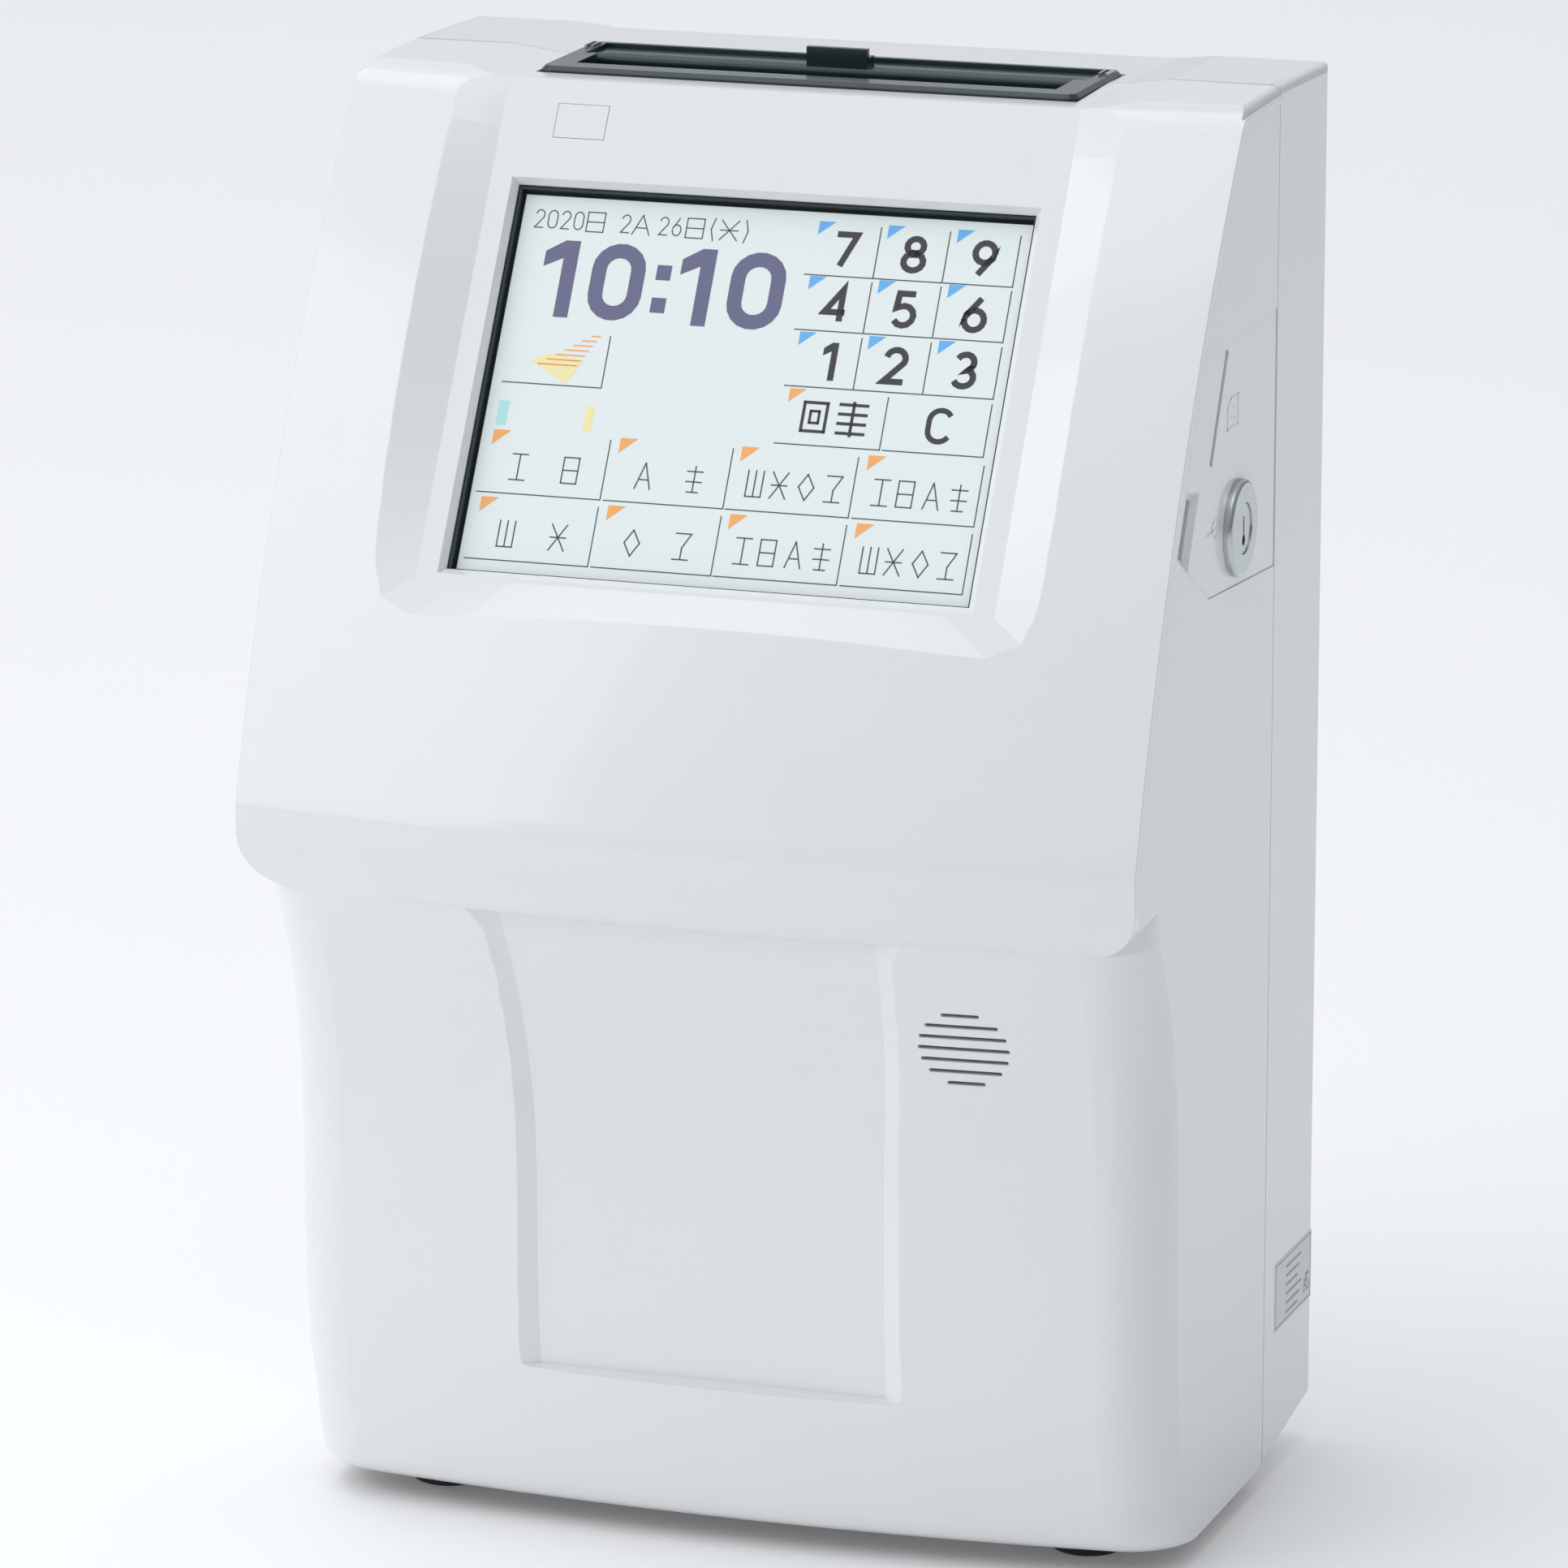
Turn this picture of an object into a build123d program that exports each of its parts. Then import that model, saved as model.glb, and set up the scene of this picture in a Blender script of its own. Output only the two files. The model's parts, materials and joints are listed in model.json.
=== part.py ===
from build123d import *
import math
import os

# Punch time clock.  Millimetres.  +X is the right-hand side seen from the front, the front
# faces -Y and +Z is up.  The origin is on the floor, under the middle of the machine.

# ---- overall size ----
HALF_W = 101.2          # half width over the lip of the front panel
SIDE_W = 100.4          # half width over the side walls
SEAM_Y = 36.0           # joint plane between the front cover and the rear case
BACK_Y = 78.0           # back of the rear case
TOP_Z = 318.0           # top of the case at the joint plane
FRONT_TOP_Z = 317.2     # top of the cover at its front edge
BACK_TOP_Z = 317.0      # top of the case at the back
COVER_BOTTOM_Z = 5.5    # lower edge of the front cover
WALL = 2.5              # casing wall
PLAN_RADIUS = 714.0     # plan bow of the front, measured at the nose of the bulge
NOSE_Y = -78.0          # foremost point of the front
PLAN_Y = NOSE_Y + PLAN_RADIUS

# ---- front profile at the middle of the machine ----
NOSE_Z = 164.0
NOSE_R = 21.0
NOSE_TOP_ANGLE = 18.0
NOSE_END_ANGLE = 49.6
TOP_CORNER_Y = -0.9
FACE_MID = (-48.8, 241.0)
TOP_EDGE_R = 12.0
LOWER_Y = -54.7         # straight lower face
HOLLOW_Z = 94.0         # where the hollow under the nose begins
BEND_Z = 42.0           # where the lower face turns in towards the foot
BOTTOM_Y = -43.5
BOTTOM_EDGE_R = 8.0
BEND_SOFT = 14.0        # how gently the face bends there
LOWER_LEVELS = (
    5.5, 6.6, 8.6, 11.0, 14.0, 20.0, 28.0, 36.0, 44.0, 54.0,
    70.0, 86.0, 96.0, 106.0, 116.0, 126.0, 136.0, 143.0, 148.0,
)
TOP_SIDE_R = 2.2        # rounding of the top's side edges
ROUND_START_Y = 3.0
SEAM_GAP = 0.3          # visible joint between the cover and the rear case
CORNER_R = 16.0         # upright corners of the lower body
PANEL_CORNER_R = 12.0   # lower corners of the front panel
LIP = 3.4               # thickness of the front panel's lip
COVER_LINK_Z = 162.0    # the lower body reaches this high inside the bulge

# ---- sloping screen channel ----
LEAN = 31.26            # slope of the screen from upright, degrees
FLOOR_Y = -55.2
FLOOR_Z = 217.1
FLOOR_TOP = 115.4       # length of the channel floor
CHANNEL_W = 65.1        # half width of the channel floor
CHANNEL_BAND = 11.1     # width of its sloping side bands
CHANNEL_STATIONS = (0.0, 15.0, 30.0, 45.0, 58.0, 72.0, 86.0, 104.0, 130.0)
LEAST_BAND = 0.2        # least depth of the side bands
CHANNEL_FOOT = 8.0      # slope length of the band under the screen
FOOT_STEPS = 12
CUT_TALL = 40.0         # how far the channel cutters stand out of the machine
TOP_FLOOR_Z = 316.5     # floor of the channel across the top at the joint plane
TOP_FLOOR_FRONT_Z = 315.7
TOP_FLOOR_BACK_Z = 315.5
WINDOW = (-60.2, 60.2, 0.9, 92.4)           # opening in the channel floor
WINDOW_THROAT = (-59.2, 58.6, 2.7, 91.5)    # the same opening at the bottom of its bevels
GASKET_HOLE = (-58.4, 58.1, 3.1, 90.7)
BEVEL_DEPTH = 2.0
BADGE = (-52.7, -40.9, 102.0, 110.0)
BADGE_GAP = 0.1

# ---- screen ----
SCREEN_N = -4.2         # face of the screen, behind the channel floor
BRACKET_X = 67.0        # bosses that carry the screen's bracket
BRACKET_S = (10.0, 84.0)

# ---- lower recess ----
RECESS_W = 39.8
RECESS_BAND = 4.5
RECESS_DEPTH = 2.1
RECESS_BOTTOM_Z = 40.4

# ---- speaker grille ----
GRILLE_X = 59.3
GRILLE_Z = 123.1
GRILLE_W = 10.0         # half width of the patch of slots
GRILLE_H = 8.9          # half height of the oval that sets the slots' lengths
GRILLE_PITCH = 2.7
GRILLE_SLOT = 0.8
SPEAKER_Y = -49.0
SPEAKER_POSTS_X = (GRILLE_X - 20.0, GRILLE_X + 20.0)

# ---- side port panel ----
PORT_OUTLINE = ((36.4, 269.3), (-19.5, 267.8), (-41.0, 229.8), (-15.2, 215.4), (36.4, 212.0))
PORT_GAP = 0.08
PORT_FACE_X = 100.2
SD_FOOT = (-14.3, 244.0)
SD_HEAD = (-2.3, 267.0)
SD_SLOT = 2.2
USB_MIDDLE = (-31.0, 234.0)
LOCK_Y = 6.5
LOCK_Z = 226.5
LOCK_R = 10.6
LOCK_FACE_X = 102.1
LOCK_BORE_R = 5.6

# ---- slot frame on top ----
SLOT_W = 61.5
SLOT_FRONT_Y = 12.4
SLOT_BACK_Y = 49.0
SLOT_TOP_Z = 317.3
SLOT_FOOT_Z = 300.0
SLOT_GAP = 0.35
THROAT_W = 55.0
THROAT_FRONT_Y = 19.0
THROAT_BACK_Y = 33.0
FLAP_AXIS_Y = 35.6
FLAP_AXIS_Z = 315.4

# ---- card path ----
CARD_Y = 27.0
CARD_GAP = 5.0
CARD_W = 52.0
GUIDE_W = 63.2
GUIDE_T = 1.2
GUIDE_TOP_Z = 299.0
GUIDE_BOTTOM_Z = 62.0

# ---- chassis ----
FRAME_X = 66.0
FRAME_T = 1.5
FRAME_FRONT_Y = -30.0
FRAME_BACK_Y = 70.0
FRAME_TOP_Z = 292.0
BASE_Z = 16.0
BASE_T = 1.5
BASE_W = 94.0
BASE_FRONT_Y = -20.0
BASE_BACK_Y = 70.0
HINGE_Y = -31.0
HINGE_Z = 15.0
HINGE_R = 2.5
FIT = 0.08              # radial running clearance

# ---- card feed ----
ROLLER_R = 7.0
PINCH_R = 6.0
PINCH_SHAFT_R = 2.2     # clears the card guide beside it
CARD_T = 0.4
FEED_Z = (232.0, 96.0)
ROLLER_X = 28.0
ROLLER_L = 14.0
SHAFT_R = 3.0
FEED_Y = CARD_Y + CARD_T / 2 + ROLLER_R
PINCH_Y = CARD_Y - CARD_T / 2 - PINCH_R
FEED_PULLEY_R = 9.0
FEED_MOTOR_PULLEY_R = 6.0
FEED_MOTOR_Y = 55.0
FEED_MOTOR_Z = 150.0
BELT_T = 1.4
FEED_BELT_X = 73.0
BELT_W = 6.0

# ---- print carriage ----
PRINT_Z = 165.0
CARRIAGE_HOME_X = -38.0
RAIL_Y = (-14.0, 6.0)
RAIL_Z = 149.0
RAIL_R = 3.0
CARRIAGE_BELT_Y = -24.0
CARRIAGE_BELT_Z = 150.0
CARRIAGE_PULLEY_R = 6.0
CARRIAGE_PULLEY_X = 56.0

# ---- feet ----
FOOT_X = 75.0
FOOT_FRONT_Y = -14.0
FOOT_BACK_Y = 60.0
FOOT_R = 9.0


def span(x0, x1, y0, y1, z0, z1):
    """A box between two corners."""
    middle = Pos((x0 + x1) / 2, (y0 + y1) / 2, (z0 + z1) / 2)
    return middle * Box(abs(x1 - x0), abs(y1 - y0), abs(z1 - z0))


def rod_x(radius, x0, x1, y, z):
    """A cylinder along X."""
    return Pos((x0 + x1) / 2, y, z) * Rot(0, 90, 0) * Cylinder(radius, abs(x1 - x0))


def rod_y(radius, y0, y1, x, z):
    """A cylinder along Y."""
    return Pos(x, (y0 + y1) / 2, z) * Rot(90, 0, 0) * Cylinder(radius, abs(y1 - y0))


def rod_z(radius, z0, z1, x, y):
    """A cylinder along Z."""
    return Pos(x, y, (z0 + z1) / 2) * Cylinder(radius, abs(z1 - z0))


def group(pieces):
    """Separate solids that share one node."""
    return Compound(children=[piece.solid() for piece in pieces])


def side_face(points, x=0.0):
    """A polygon in the YZ plane at x, from (y, z) points."""
    return Face(Wire.make_polygon([(x, y, z) for y, z in points]))


def side_prism(points, x0, x1):
    """A polygon of (y, z) points carried along X."""
    return extrude(side_face(points, x0), amount=x1 - x0, dir=(1, 0, 0))


def on_floor():
    """Place of the sloping channel floor: local x, s up the slope, n out of the machine."""
    lean = math.radians(LEAN)
    return Plane(
        origin=(0, FLOOR_Y, FLOOR_Z), x_dir=(1, 0, 0), z_dir=(0, -math.cos(lean), math.sin(lean))
    ).location


# ------------------------------------------------------------------ casing volumes


def nose_point(angle, inset=0.0):
    """A point of the nose's round, at an angle up from its foremost point."""
    turn = math.radians(angle)
    r = NOSE_R - inset
    return (NOSE_Y + NOSE_R - r * math.cos(turn), NOSE_Z + r * math.sin(turn))


def p3(point):
    return (0, point[0], point[1])


def circle_through(a, b, c):
    """Centre and radius of the circle through three (y, z) points."""
    turn = 2 * (a[0] * (b[1] - c[1]) + b[0] * (c[1] - a[1]) + c[0] * (a[1] - b[1]))
    squares = [q[0] ** 2 + q[1] ** 2 for q in (a, b, c)]
    cy = (squares[0] * (b[1] - c[1]) + squares[1] * (c[1] - a[1]) + squares[2] * (a[1] - b[1])) / turn
    cz = (squares[0] * (c[0] - b[0]) + squares[1] * (a[0] - c[0]) + squares[2] * (b[0] - a[0])) / turn
    return (cy, cz), math.dist((cy, cz), a)


def bulge_profile(inset=0.0):
    """Side profile of the upper body, down to the crease under the nose."""
    back = SEAM_Y + 24
    centre, radius = circle_through((TOP_CORNER_Y, FRONT_TOP_Z), FACE_MID, nose_point(NOSE_TOP_ANGLE))
    r = radius - inset
    top = FRONT_TOP_Z - inset
    top_corner = (centre[0] - math.sqrt(r**2 - (top - centre[1]) ** 2), top)
    middle = (centre[0] - math.sqrt(r**2 - (FACE_MID[1] - centre[1]) ** 2), FACE_MID[1])
    nose_top = nose_point(NOSE_TOP_ANGLE, inset)
    nose_front = nose_point(0, inset)
    crease = nose_point(-NOSE_END_ANGLE, inset)
    top_slope = (TOP_Z - FRONT_TOP_Z) / (SEAM_Y - TOP_CORNER_Y)
    back_top = (back, TOP_Z - inset + (back - SEAM_Y) * top_slope)
    edges = [
        Line(p3(back_top), p3(top_corner)),
        ThreePointArc(p3(top_corner), p3(middle), p3(nose_top)),
        ThreePointArc(p3(nose_top), p3(nose_front), p3(crease)),
        Line(p3(crease), p3((back, crease[1]))),
        Line(p3((back, crease[1])), p3(back_top)),
    ]
    face = Face(Wire(edges))
    corner = face.vertices().sort_by_distance(p3(top_corner))[0]
    return face.fillet_2d(TOP_EDGE_R - inset, [corner])


def lower_front(z):
    """Y of the lower body's front at height z, at the middle of the machine."""
    crease = nose_point(-NOSE_END_ANGLE)
    rise = crease[1] - HOLLOW_Z
    sweep = 2 * math.atan((LOWER_Y - crease[0]) / rise)
    radius = rise / math.sin(sweep)
    if z >= crease[1]:
        return crease[0]
    if z >= HOLLOW_Z:
        return LOWER_Y - radius + math.sqrt(radius**2 - (z - HOLLOW_Z) ** 2)
    slope = (BOTTOM_Y - LOWER_Y) / (BEND_Z - COVER_BOTTOM_Z)
    fall = BEND_Z - z
    turned = slope * (fall + math.sqrt(fall**2 + BEND_SOFT**2)) / 2
    rounding = COVER_BOTTOM_Z + BOTTOM_EDGE_R - z
    if rounding > 0:
        turned += BOTTOM_EDGE_R - math.sqrt(BOTTOM_EDGE_R**2 - min(rounding, BOTTOM_EDGE_R * 0.98) ** 2)
    return LOWER_Y + turned


def plan_wire(z, front, inset, back):
    """Plan section of the lower body at height z: bowed front and rounded corners."""
    w = SIDE_W - inset
    r = CORNER_R - inset
    bow = PLAN_Y - front - inset
    cx = SIDE_W - CORNER_R
    cy = PLAN_Y - math.sqrt((bow - r) ** 2 - cx**2)
    reach = bow / (bow - r)
    tx, ty = cx * reach, PLAN_Y + (cy - PLAN_Y) * reach
    half = math.atan2(ty - cy, tx - cx) / 2
    mx, my = cx + r * math.cos(half), cy + r * math.sin(half)
    edges = [
        Line((-w, back, z), (-w, cy, z)),
        ThreePointArc((-w, cy, z), (-mx, my, z), (-tx, ty, z)),
        ThreePointArc((-tx, ty, z), (0, front + inset, z), (tx, ty, z)),
        ThreePointArc((tx, ty, z), (mx, my, z), (w, cy, z)),
        Line((w, cy, z), (w, back, z)),
        Line((w, back, z), (-w, back, z)),
    ]
    return Wire(edges)


def bowed(face):
    """Carry a side profile round the plan bow of the front."""
    axis = Axis((0, PLAN_Y, 0), (0, 0, 1))
    start = face.rotate(axis, -11)
    return revolve(start, axis=axis, revolution_arc=22)


def panel_outline(inset):
    """Front-view block with the rounded lower corners of the front panel."""
    foot = nose_point(-NOSE_END_ANGLE)[1]
    head = TOP_Z + 20
    w = HALF_W - inset
    sheet = RectangleRounded(2 * w, 2 * (head - foot), PANEL_CORNER_R - inset)
    return Plane(origin=(0, SEAM_Y, head), x_dir=(1, 0, 0), z_dir=(0, -1, 0)).location * extrude(sheet, 160)


def bulge_volume(inset):
    """Upper body inside the given inset; at inset 0 it has the front panel's lip at each side."""
    w = (HALF_W if inset == 0 else SIDE_W - inset)
    body = bowed(bulge_profile(inset)) & span(-w, w, -120, SEAM_Y + 1, 100, 400)
    if inset > 0:
        return body
    crease = nose_point(-NOSE_END_ANGLE)
    behind = bowed(bulge_profile(LIP))
    under = span(-HALF_W - 1, HALF_W + 1, crease[0] + LIP, SEAM_Y + 2, crease[1] - 1, crease[1] + 2 * LIP)
    for side in (-1, 1):
        strip = span(side * SIDE_W, side * (HALF_W + 1), -120, SEAM_Y + 2, 100, 400)
        body = body - (behind & strip) - (under & strip)
    return body


def lower_volume(inset):
    """Lower body inside the given inset, with rounded upright corners."""
    back = SEAM_Y + 1
    wires = [plan_wire(z, lower_front(z), inset, back) for z in LOWER_LEVELS]
    body = Solid.make_loft(wires)
    link = Face(plan_wire(LOWER_LEVELS[-1], lower_front(LOWER_LEVELS[-1]), inset, back))
    return body + extrude(link, amount=COVER_LINK_Z - LOWER_LEVELS[-1], dir=(0, 0, 1))


def face_over_floor(x, s):
    """Height of the bowed front over the sloping channel floor, s up the slope."""
    lean = math.radians(LEAN)
    top_corner = (TOP_CORNER_Y, FRONT_TOP_Z)
    centre, radius = circle_through(top_corner, FACE_MID, nose_point(NOSE_TOP_ANGLE))
    dy = FLOOR_Y + s * math.sin(lean) - centre[0]
    dz = FLOOR_Z + s * math.cos(lean) - centre[1]
    along = dz * math.sin(lean) - dy * math.cos(lean)
    height = math.sqrt(along**2 - dy**2 - dz**2 + radius**2) - along
    return height - x**2 / (2 * PLAN_RADIUS) * math.cos(lean)


def band_depth(s):
    """Depth of the channel at the outer edge of its side bands."""
    return max(face_over_floor(CHANNEL_W + CHANNEL_BAND, s), LEAST_BAND)


def channel_foot():
    """Ramp at the foot of the channel that runs out in a straight line on the bowed front."""
    wide = CHANNEL_W + 2 * CHANNEL_BAND
    rise = 2 * band_depth(0)
    wires = []
    for s, half in ((-2 * CHANNEL_FOOT, wide - 0.05), (0.0, CHANNEL_W)):
        points = [(-wide, s, rise), (-wide, s, CUT_TALL), (wide, s, CUT_TALL), (wide, s, rise)]
        for step in range(FOOT_STEPS + 1):
            x = half * (1 - 2 * step / FOOT_STEPS)
            lift = 2 * max(face_over_floor(x, -CHANNEL_FOOT), band_depth(-CHANNEL_FOOT))
            points.append((x, s, lift if s < 0 else 0.0))
        wires.append(Wire.make_polygon(points))
    return Solid.make_loft(wires, ruled=True)


def channel_cutter(depth):
    """The sloping channel for the screen, sunk by an extra depth below its own floor."""
    w = CHANNEL_W + 2 * CHANNEL_BAND
    wires = []
    for s in CHANNEL_STATIONS:
        rise = 2 * band_depth(s)
        points = [(-w, s, rise), (-w, s, CUT_TALL), (w, s, CUT_TALL), (w, s, rise)]
        points += [(CHANNEL_W, s, 0), (-CHANNEL_W, s, 0)]
        wires.append(Wire.make_polygon(points))
    block = Solid.make_loft(wires, ruled=True) + channel_foot()
    return on_floor() * Pos(0, 0, -depth) * block


def top_cutter(depth):
    """The shallow channel that runs back across the top."""
    w = CHANNEL_W + 2 * CHANNEL_BAND
    rise = 2 * (TOP_Z - TOP_FLOOR_Z)
    wires = []
    for y, z in ((TOP_CORNER_Y, TOP_FLOOR_FRONT_Z), (SEAM_Y, TOP_FLOOR_Z), (BACK_Y + 5, TOP_FLOOR_BACK_Z)):
        low = z - depth
        points = [(-w, y, low + rise), (-w, y, low + 40), (w, y, low + 40), (w, y, low + rise)]
        points += [(CHANNEL_W, y, low), (-CHANNEL_W, y, low)]
        wires.append(Wire.make_polygon(points))
    return Solid.make_loft(wires, ruled=True)


def recess_cutter(depth):
    """The shallow panel recess in the lower face, which follows the hollow above it."""
    wires = []
    bottom = RECESS_BOTTOM_Z
    levels = [(bottom - 0.7, -RECESS_DEPTH), (bottom + 0.7, RECESS_DEPTH)]
    levels += [(z, RECESS_DEPTH) for z in (54, 70, 86, 96, 106, 116, 126, 136, 143, 152)]
    for z, sunk in levels:
        bow = RECESS_W**2 / (2 * PLAN_RADIUS)
        y = lower_front(z) + bow
        flare = max(0.0, (z - HOLLOW_Z) / 20.0)
        narrow = RECESS_W + flare + (RECESS_DEPTH - sunk)
        wide = RECESS_W + 2 * RECESS_BAND + 1.3 * flare
        proud = y - RECESS_DEPTH
        points = [(-wide, proud), (-narrow, y + sunk), (narrow, y + sunk), (wide, proud)]
        points += [(wide, y - 30), (-wide, y - 30)]
        wires.append(Wire.make_polygon([(x, yy + depth, z) for x, yy in points]))
    return Solid.make_loft(wires, ruled=True)


# ------------------------------------------------------------------ casing


def port_sheet(grow):
    """Outline of the side port panel, grown or shrunk."""
    sheet = Polygon(*PORT_OUTLINE, align=None)
    return Plane.YZ * offset(sheet, amount=grow, kind=Kind.INTERSECTION)


def port_prism(grow, x0, x1):
    return Pos(x0, 0, 0) * extrude(port_sheet(grow), x1 - x0)


def slot_hole():
    """The hole in the top that the slot frame stands in."""
    g = SLOT_GAP
    return span(-SLOT_W - g, SLOT_W + g, SLOT_FRONT_Y - g, SLOT_BACK_Y + g, 280, 340)


def grille_cutter():
    """Horizontal speaker slots with rounded ends, inside an oval."""
    slots = []
    for row in range(-3, 4):
        drop = row * GRILLE_PITCH
        half = GRILLE_W * math.sqrt(1 - (drop / GRILLE_H) ** 2)
        place = Pos(GRILLE_X, -45, GRILLE_Z + drop)
        slots.append(place * extrude(Plane.XZ * SlotOverall(2 * half, GRILLE_SLOT), 35))
    return Compound(children=slots)


def window_cutter():
    """The bevelled opening for the screen."""
    x0, x1, s0, s1 = WINDOW
    a0, a1, b0, b1 = WINDOW_THROAT
    rims = [
        Wire.make_polygon([(x, s, n) for x, s in ((u0, v0), (u1, v0), (u1, v1), (u0, v1))])
        for u0, u1, v0, v1, n in ((a0, a1, b0, b1, -BEVEL_DEPTH), (x0, x1, s0, s1, 0))
    ]
    funnel = Solid.make_loft(rims, ruled=True)
    return on_floor() * (funnel + span(a0, a1, b0, b1, -12, 0.5) + span(x0, x1, s0, s1, 0, 8))


def front_cover():
    outer = (bulge_volume(0) & panel_outline(0)) + (lower_volume(0) - recess_cutter(0))
    outer = outer - top_rounder(ROUND_START_Y, FRONT_TOP_Z, SEAM_Y + 1, TOP_Z)
    outer = outer - channel_cutter(0) - top_cutter(0)
    inner = (bulge_volume(WALL) & panel_outline(WALL)) - channel_cutter(WALL) - top_cutter(WALL)
    inner = inner + (lower_volume(WALL) - recess_cutter(WALL))
    shell = outer - inner
    shell = shell - window_cutter()
    x0, x1, s0, s1 = BADGE
    shell = shell - on_floor() * span(x0, x1, s0, s1, -0.8, 6)
    shell = shell - slot_hole()
    shell = shell - port_prism(0, SIDE_W - 6, HALF_W + 4)
    shell = shell - grille_cutter()
    for side in (-1, 1):
        for s in BRACKET_S:
            boss = Pos(side * BRACKET_X, s, -8.2) * Cylinder(3.2, 11.6)
            screw = Pos(side * BRACKET_X, s, -10) * Cylinder(1.2, 8.2)
            shell = shell + on_floor() * boss - on_floor() * screw
        lug = span(side * 76, side * 84, -41, HINGE_Y, HINGE_Z - 5, HINGE_Z + 5)
        lug = lug + rod_x(5, side * 76, side * 84, HINGE_Y, HINGE_Z)
        shell = shell + (lug & lower_volume(1.2))
        shell = shell - rod_x(HINGE_R + FIT, side * 75, side * 85, HINGE_Y, HINGE_Z)
    for x in SPEAKER_POSTS_X:
        shell = shell + ((rod_y(2.6, -60, SPEAKER_Y, x, GRILLE_Z) & lower_volume(1.0)) - recess_cutter(1.0))
    shell = shell & span(-HALF_W, HALF_W, -200, SEAM_Y - SEAM_GAP / 2, -10, 400)
    return shell - swing_relief()


def swing_relief():
    """Corner of the cover's back edge that would strike the rear case as it tips."""
    corner = span(-HALF_W - 1, HALF_W + 1, 30, 40, 0, HINGE_Z)
    return corner - rod_x(SEAM_Y - HINGE_Y, -HALF_W - 2, HALF_W + 2, HINGE_Y, HINGE_Z)


def top_rounder(y0, z0, y1, z1):
    """What is cut away to round the top's two side edges, from one end to the other."""
    pieces = []
    for side in (-1, 1):
        start = (side * (SIDE_W - TOP_SIDE_R), y0, z0 - TOP_SIDE_R)
        plane = Plane(origin=start, x_dir=(side, 0, 0), z_dir=(0, -side, 0))
        reach = TOP_SIDE_R + 2
        corner = Rectangle(reach, reach, align=(Align.MIN, Align.MIN)) - Circle(TOP_SIDE_R)
        length = math.dist((y0, z0), (y1, z1))
        pieces.append(extrude(plane * corner, length, dir=(0, y1 - y0, z1 - z0)))
    return pieces


def rear_profile(inset):
    """Side profile of the rear case."""
    return (
        (SEAM_Y - (8 if inset else 0), 6.5 + inset),
        (SEAM_Y - (8 if inset else 0), TOP_Z - inset),
        (BACK_Y - inset, BACK_TOP_Z - inset),
        (BACK_Y - inset, 12.5 + inset),
    )


def rear_volume(inset):
    w = SIDE_W - inset
    body = side_prism(rear_profile(inset), -w, w)
    edges = body.edges().filter_by(lambda e: e.center().Y > BACK_Y - inset - 0.1)
    return fillet(edges, 4.0 - min(inset, 2.5) + 0.5)


def rear_case():
    shell = rear_volume(0) - top_rounder(SEAM_Y - 1, TOP_Z, BACK_Y + 1, BACK_TOP_Z) - top_cutter(0)
    shell = shell - (rear_volume(WALL) - top_cutter(WALL))
    hollow = rear_volume(4.3) - top_cutter(4.3)
    tongue = span(-97.6, 97.6, SEAM_Y - 3, SEAM_Y + 3, 30, 315.1) & (rear_volume(2.8) - top_cutter(2.8))
    root = span(-98, 98, SEAM_Y + 0.3, SEAM_Y + 3, 30, 316)
    tongue = tongue + (root & (rear_volume(2.3) - top_cutter(2.3)))
    tongue = tongue - hollow
    tongue = tongue - span(60, 120, 0, SEAM_Y + 0.25, 205, 276)
    shell = shell & span(-200, 200, SEAM_Y + SEAM_GAP / 2, 200, -10, 400)
    shell = shell + tongue
    shell = shell - slot_hole()
    for x in (-60, 60):
        z = 262
        shell = shell - rod_y(4.6, 70, 90, x, z) - span(x - 2.3, x + 2.3, 70, 90, z, z + 12)
        shell = shell - rod_y(2.3, 70, 90, x, z + 12)
    shell = shell - rod_y(2.25, 70, 90, 0, 62)
    for row in range(8):
        z = 200 + 7 * row
        shell = shell - span(-38, 38, 70, 90, z, z + 2.6)
    shell = shell - span(-52.3, -29.7, 70, 90, 27.7, 44.3)
    for x in (-FOOT_X, FOOT_X):
        shell = shell - rod_z(FOOT_R + 0.4, 0, 17, x, FOOT_BACK_Y)
    for x in (-62, 62):
        for z in (40, 270):
            boss = rod_y(4, 71.5, 76, x, z)
            shell = shell + boss
    return shell


def feet():
    """Four moulded feet with rounded soles, screwed under the base plate."""
    pieces = []
    for x in (-FOOT_X, FOOT_X):
        for y in (FOOT_FRONT_Y, FOOT_BACK_Y):
            foot = rod_z(FOOT_R, 0, BASE_Z, x, y)
            sole = foot.edges().filter_by(lambda e: e.center().Z < 0.1)
            pieces.append(fillet(sole, 2.4))
    return group(pieces)


def badge_plate():
    x0, x1, s0, s1 = BADGE
    g = BADGE_GAP
    return on_floor() * span(x0 + g, x1 - g, s0 + g, s1 - g, -0.75, 0.05)


def rating_label():
    return span(SIDE_W, SIDE_W + 0.12, 44.7, 74.4, 34.1, 49.9)


# ------------------------------------------------------------------ screen and electronics


def window_gasket():
    ring = span(-64, 64, -1.6, 95.4, -4.2, -2.7)
    x0, x1, s0, s1 = GASKET_HOLE
    return on_floor() * (ring - span(x0, x1, s0, s1, -5, 0))


def touch_panel():
    return on_floor() * span(-63, 63, -0.8, 94.6, -5.3, SCREEN_N)


def lcd_panel():
    return on_floor() * span(-60.5, 60.5, 0.4, 93.0, -8.3, -5.3)


def backlight_case():
    case = span(-63, 63, -0.8, 94.6, -13.9, -8.3)
    ribs = [span(-63, 63, s, s + 1.2, -13.9, -13.1) for s in (16, 36, 56, 76)]
    for rib in ribs:
        case = case - rib
    return on_floor() * case


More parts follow.
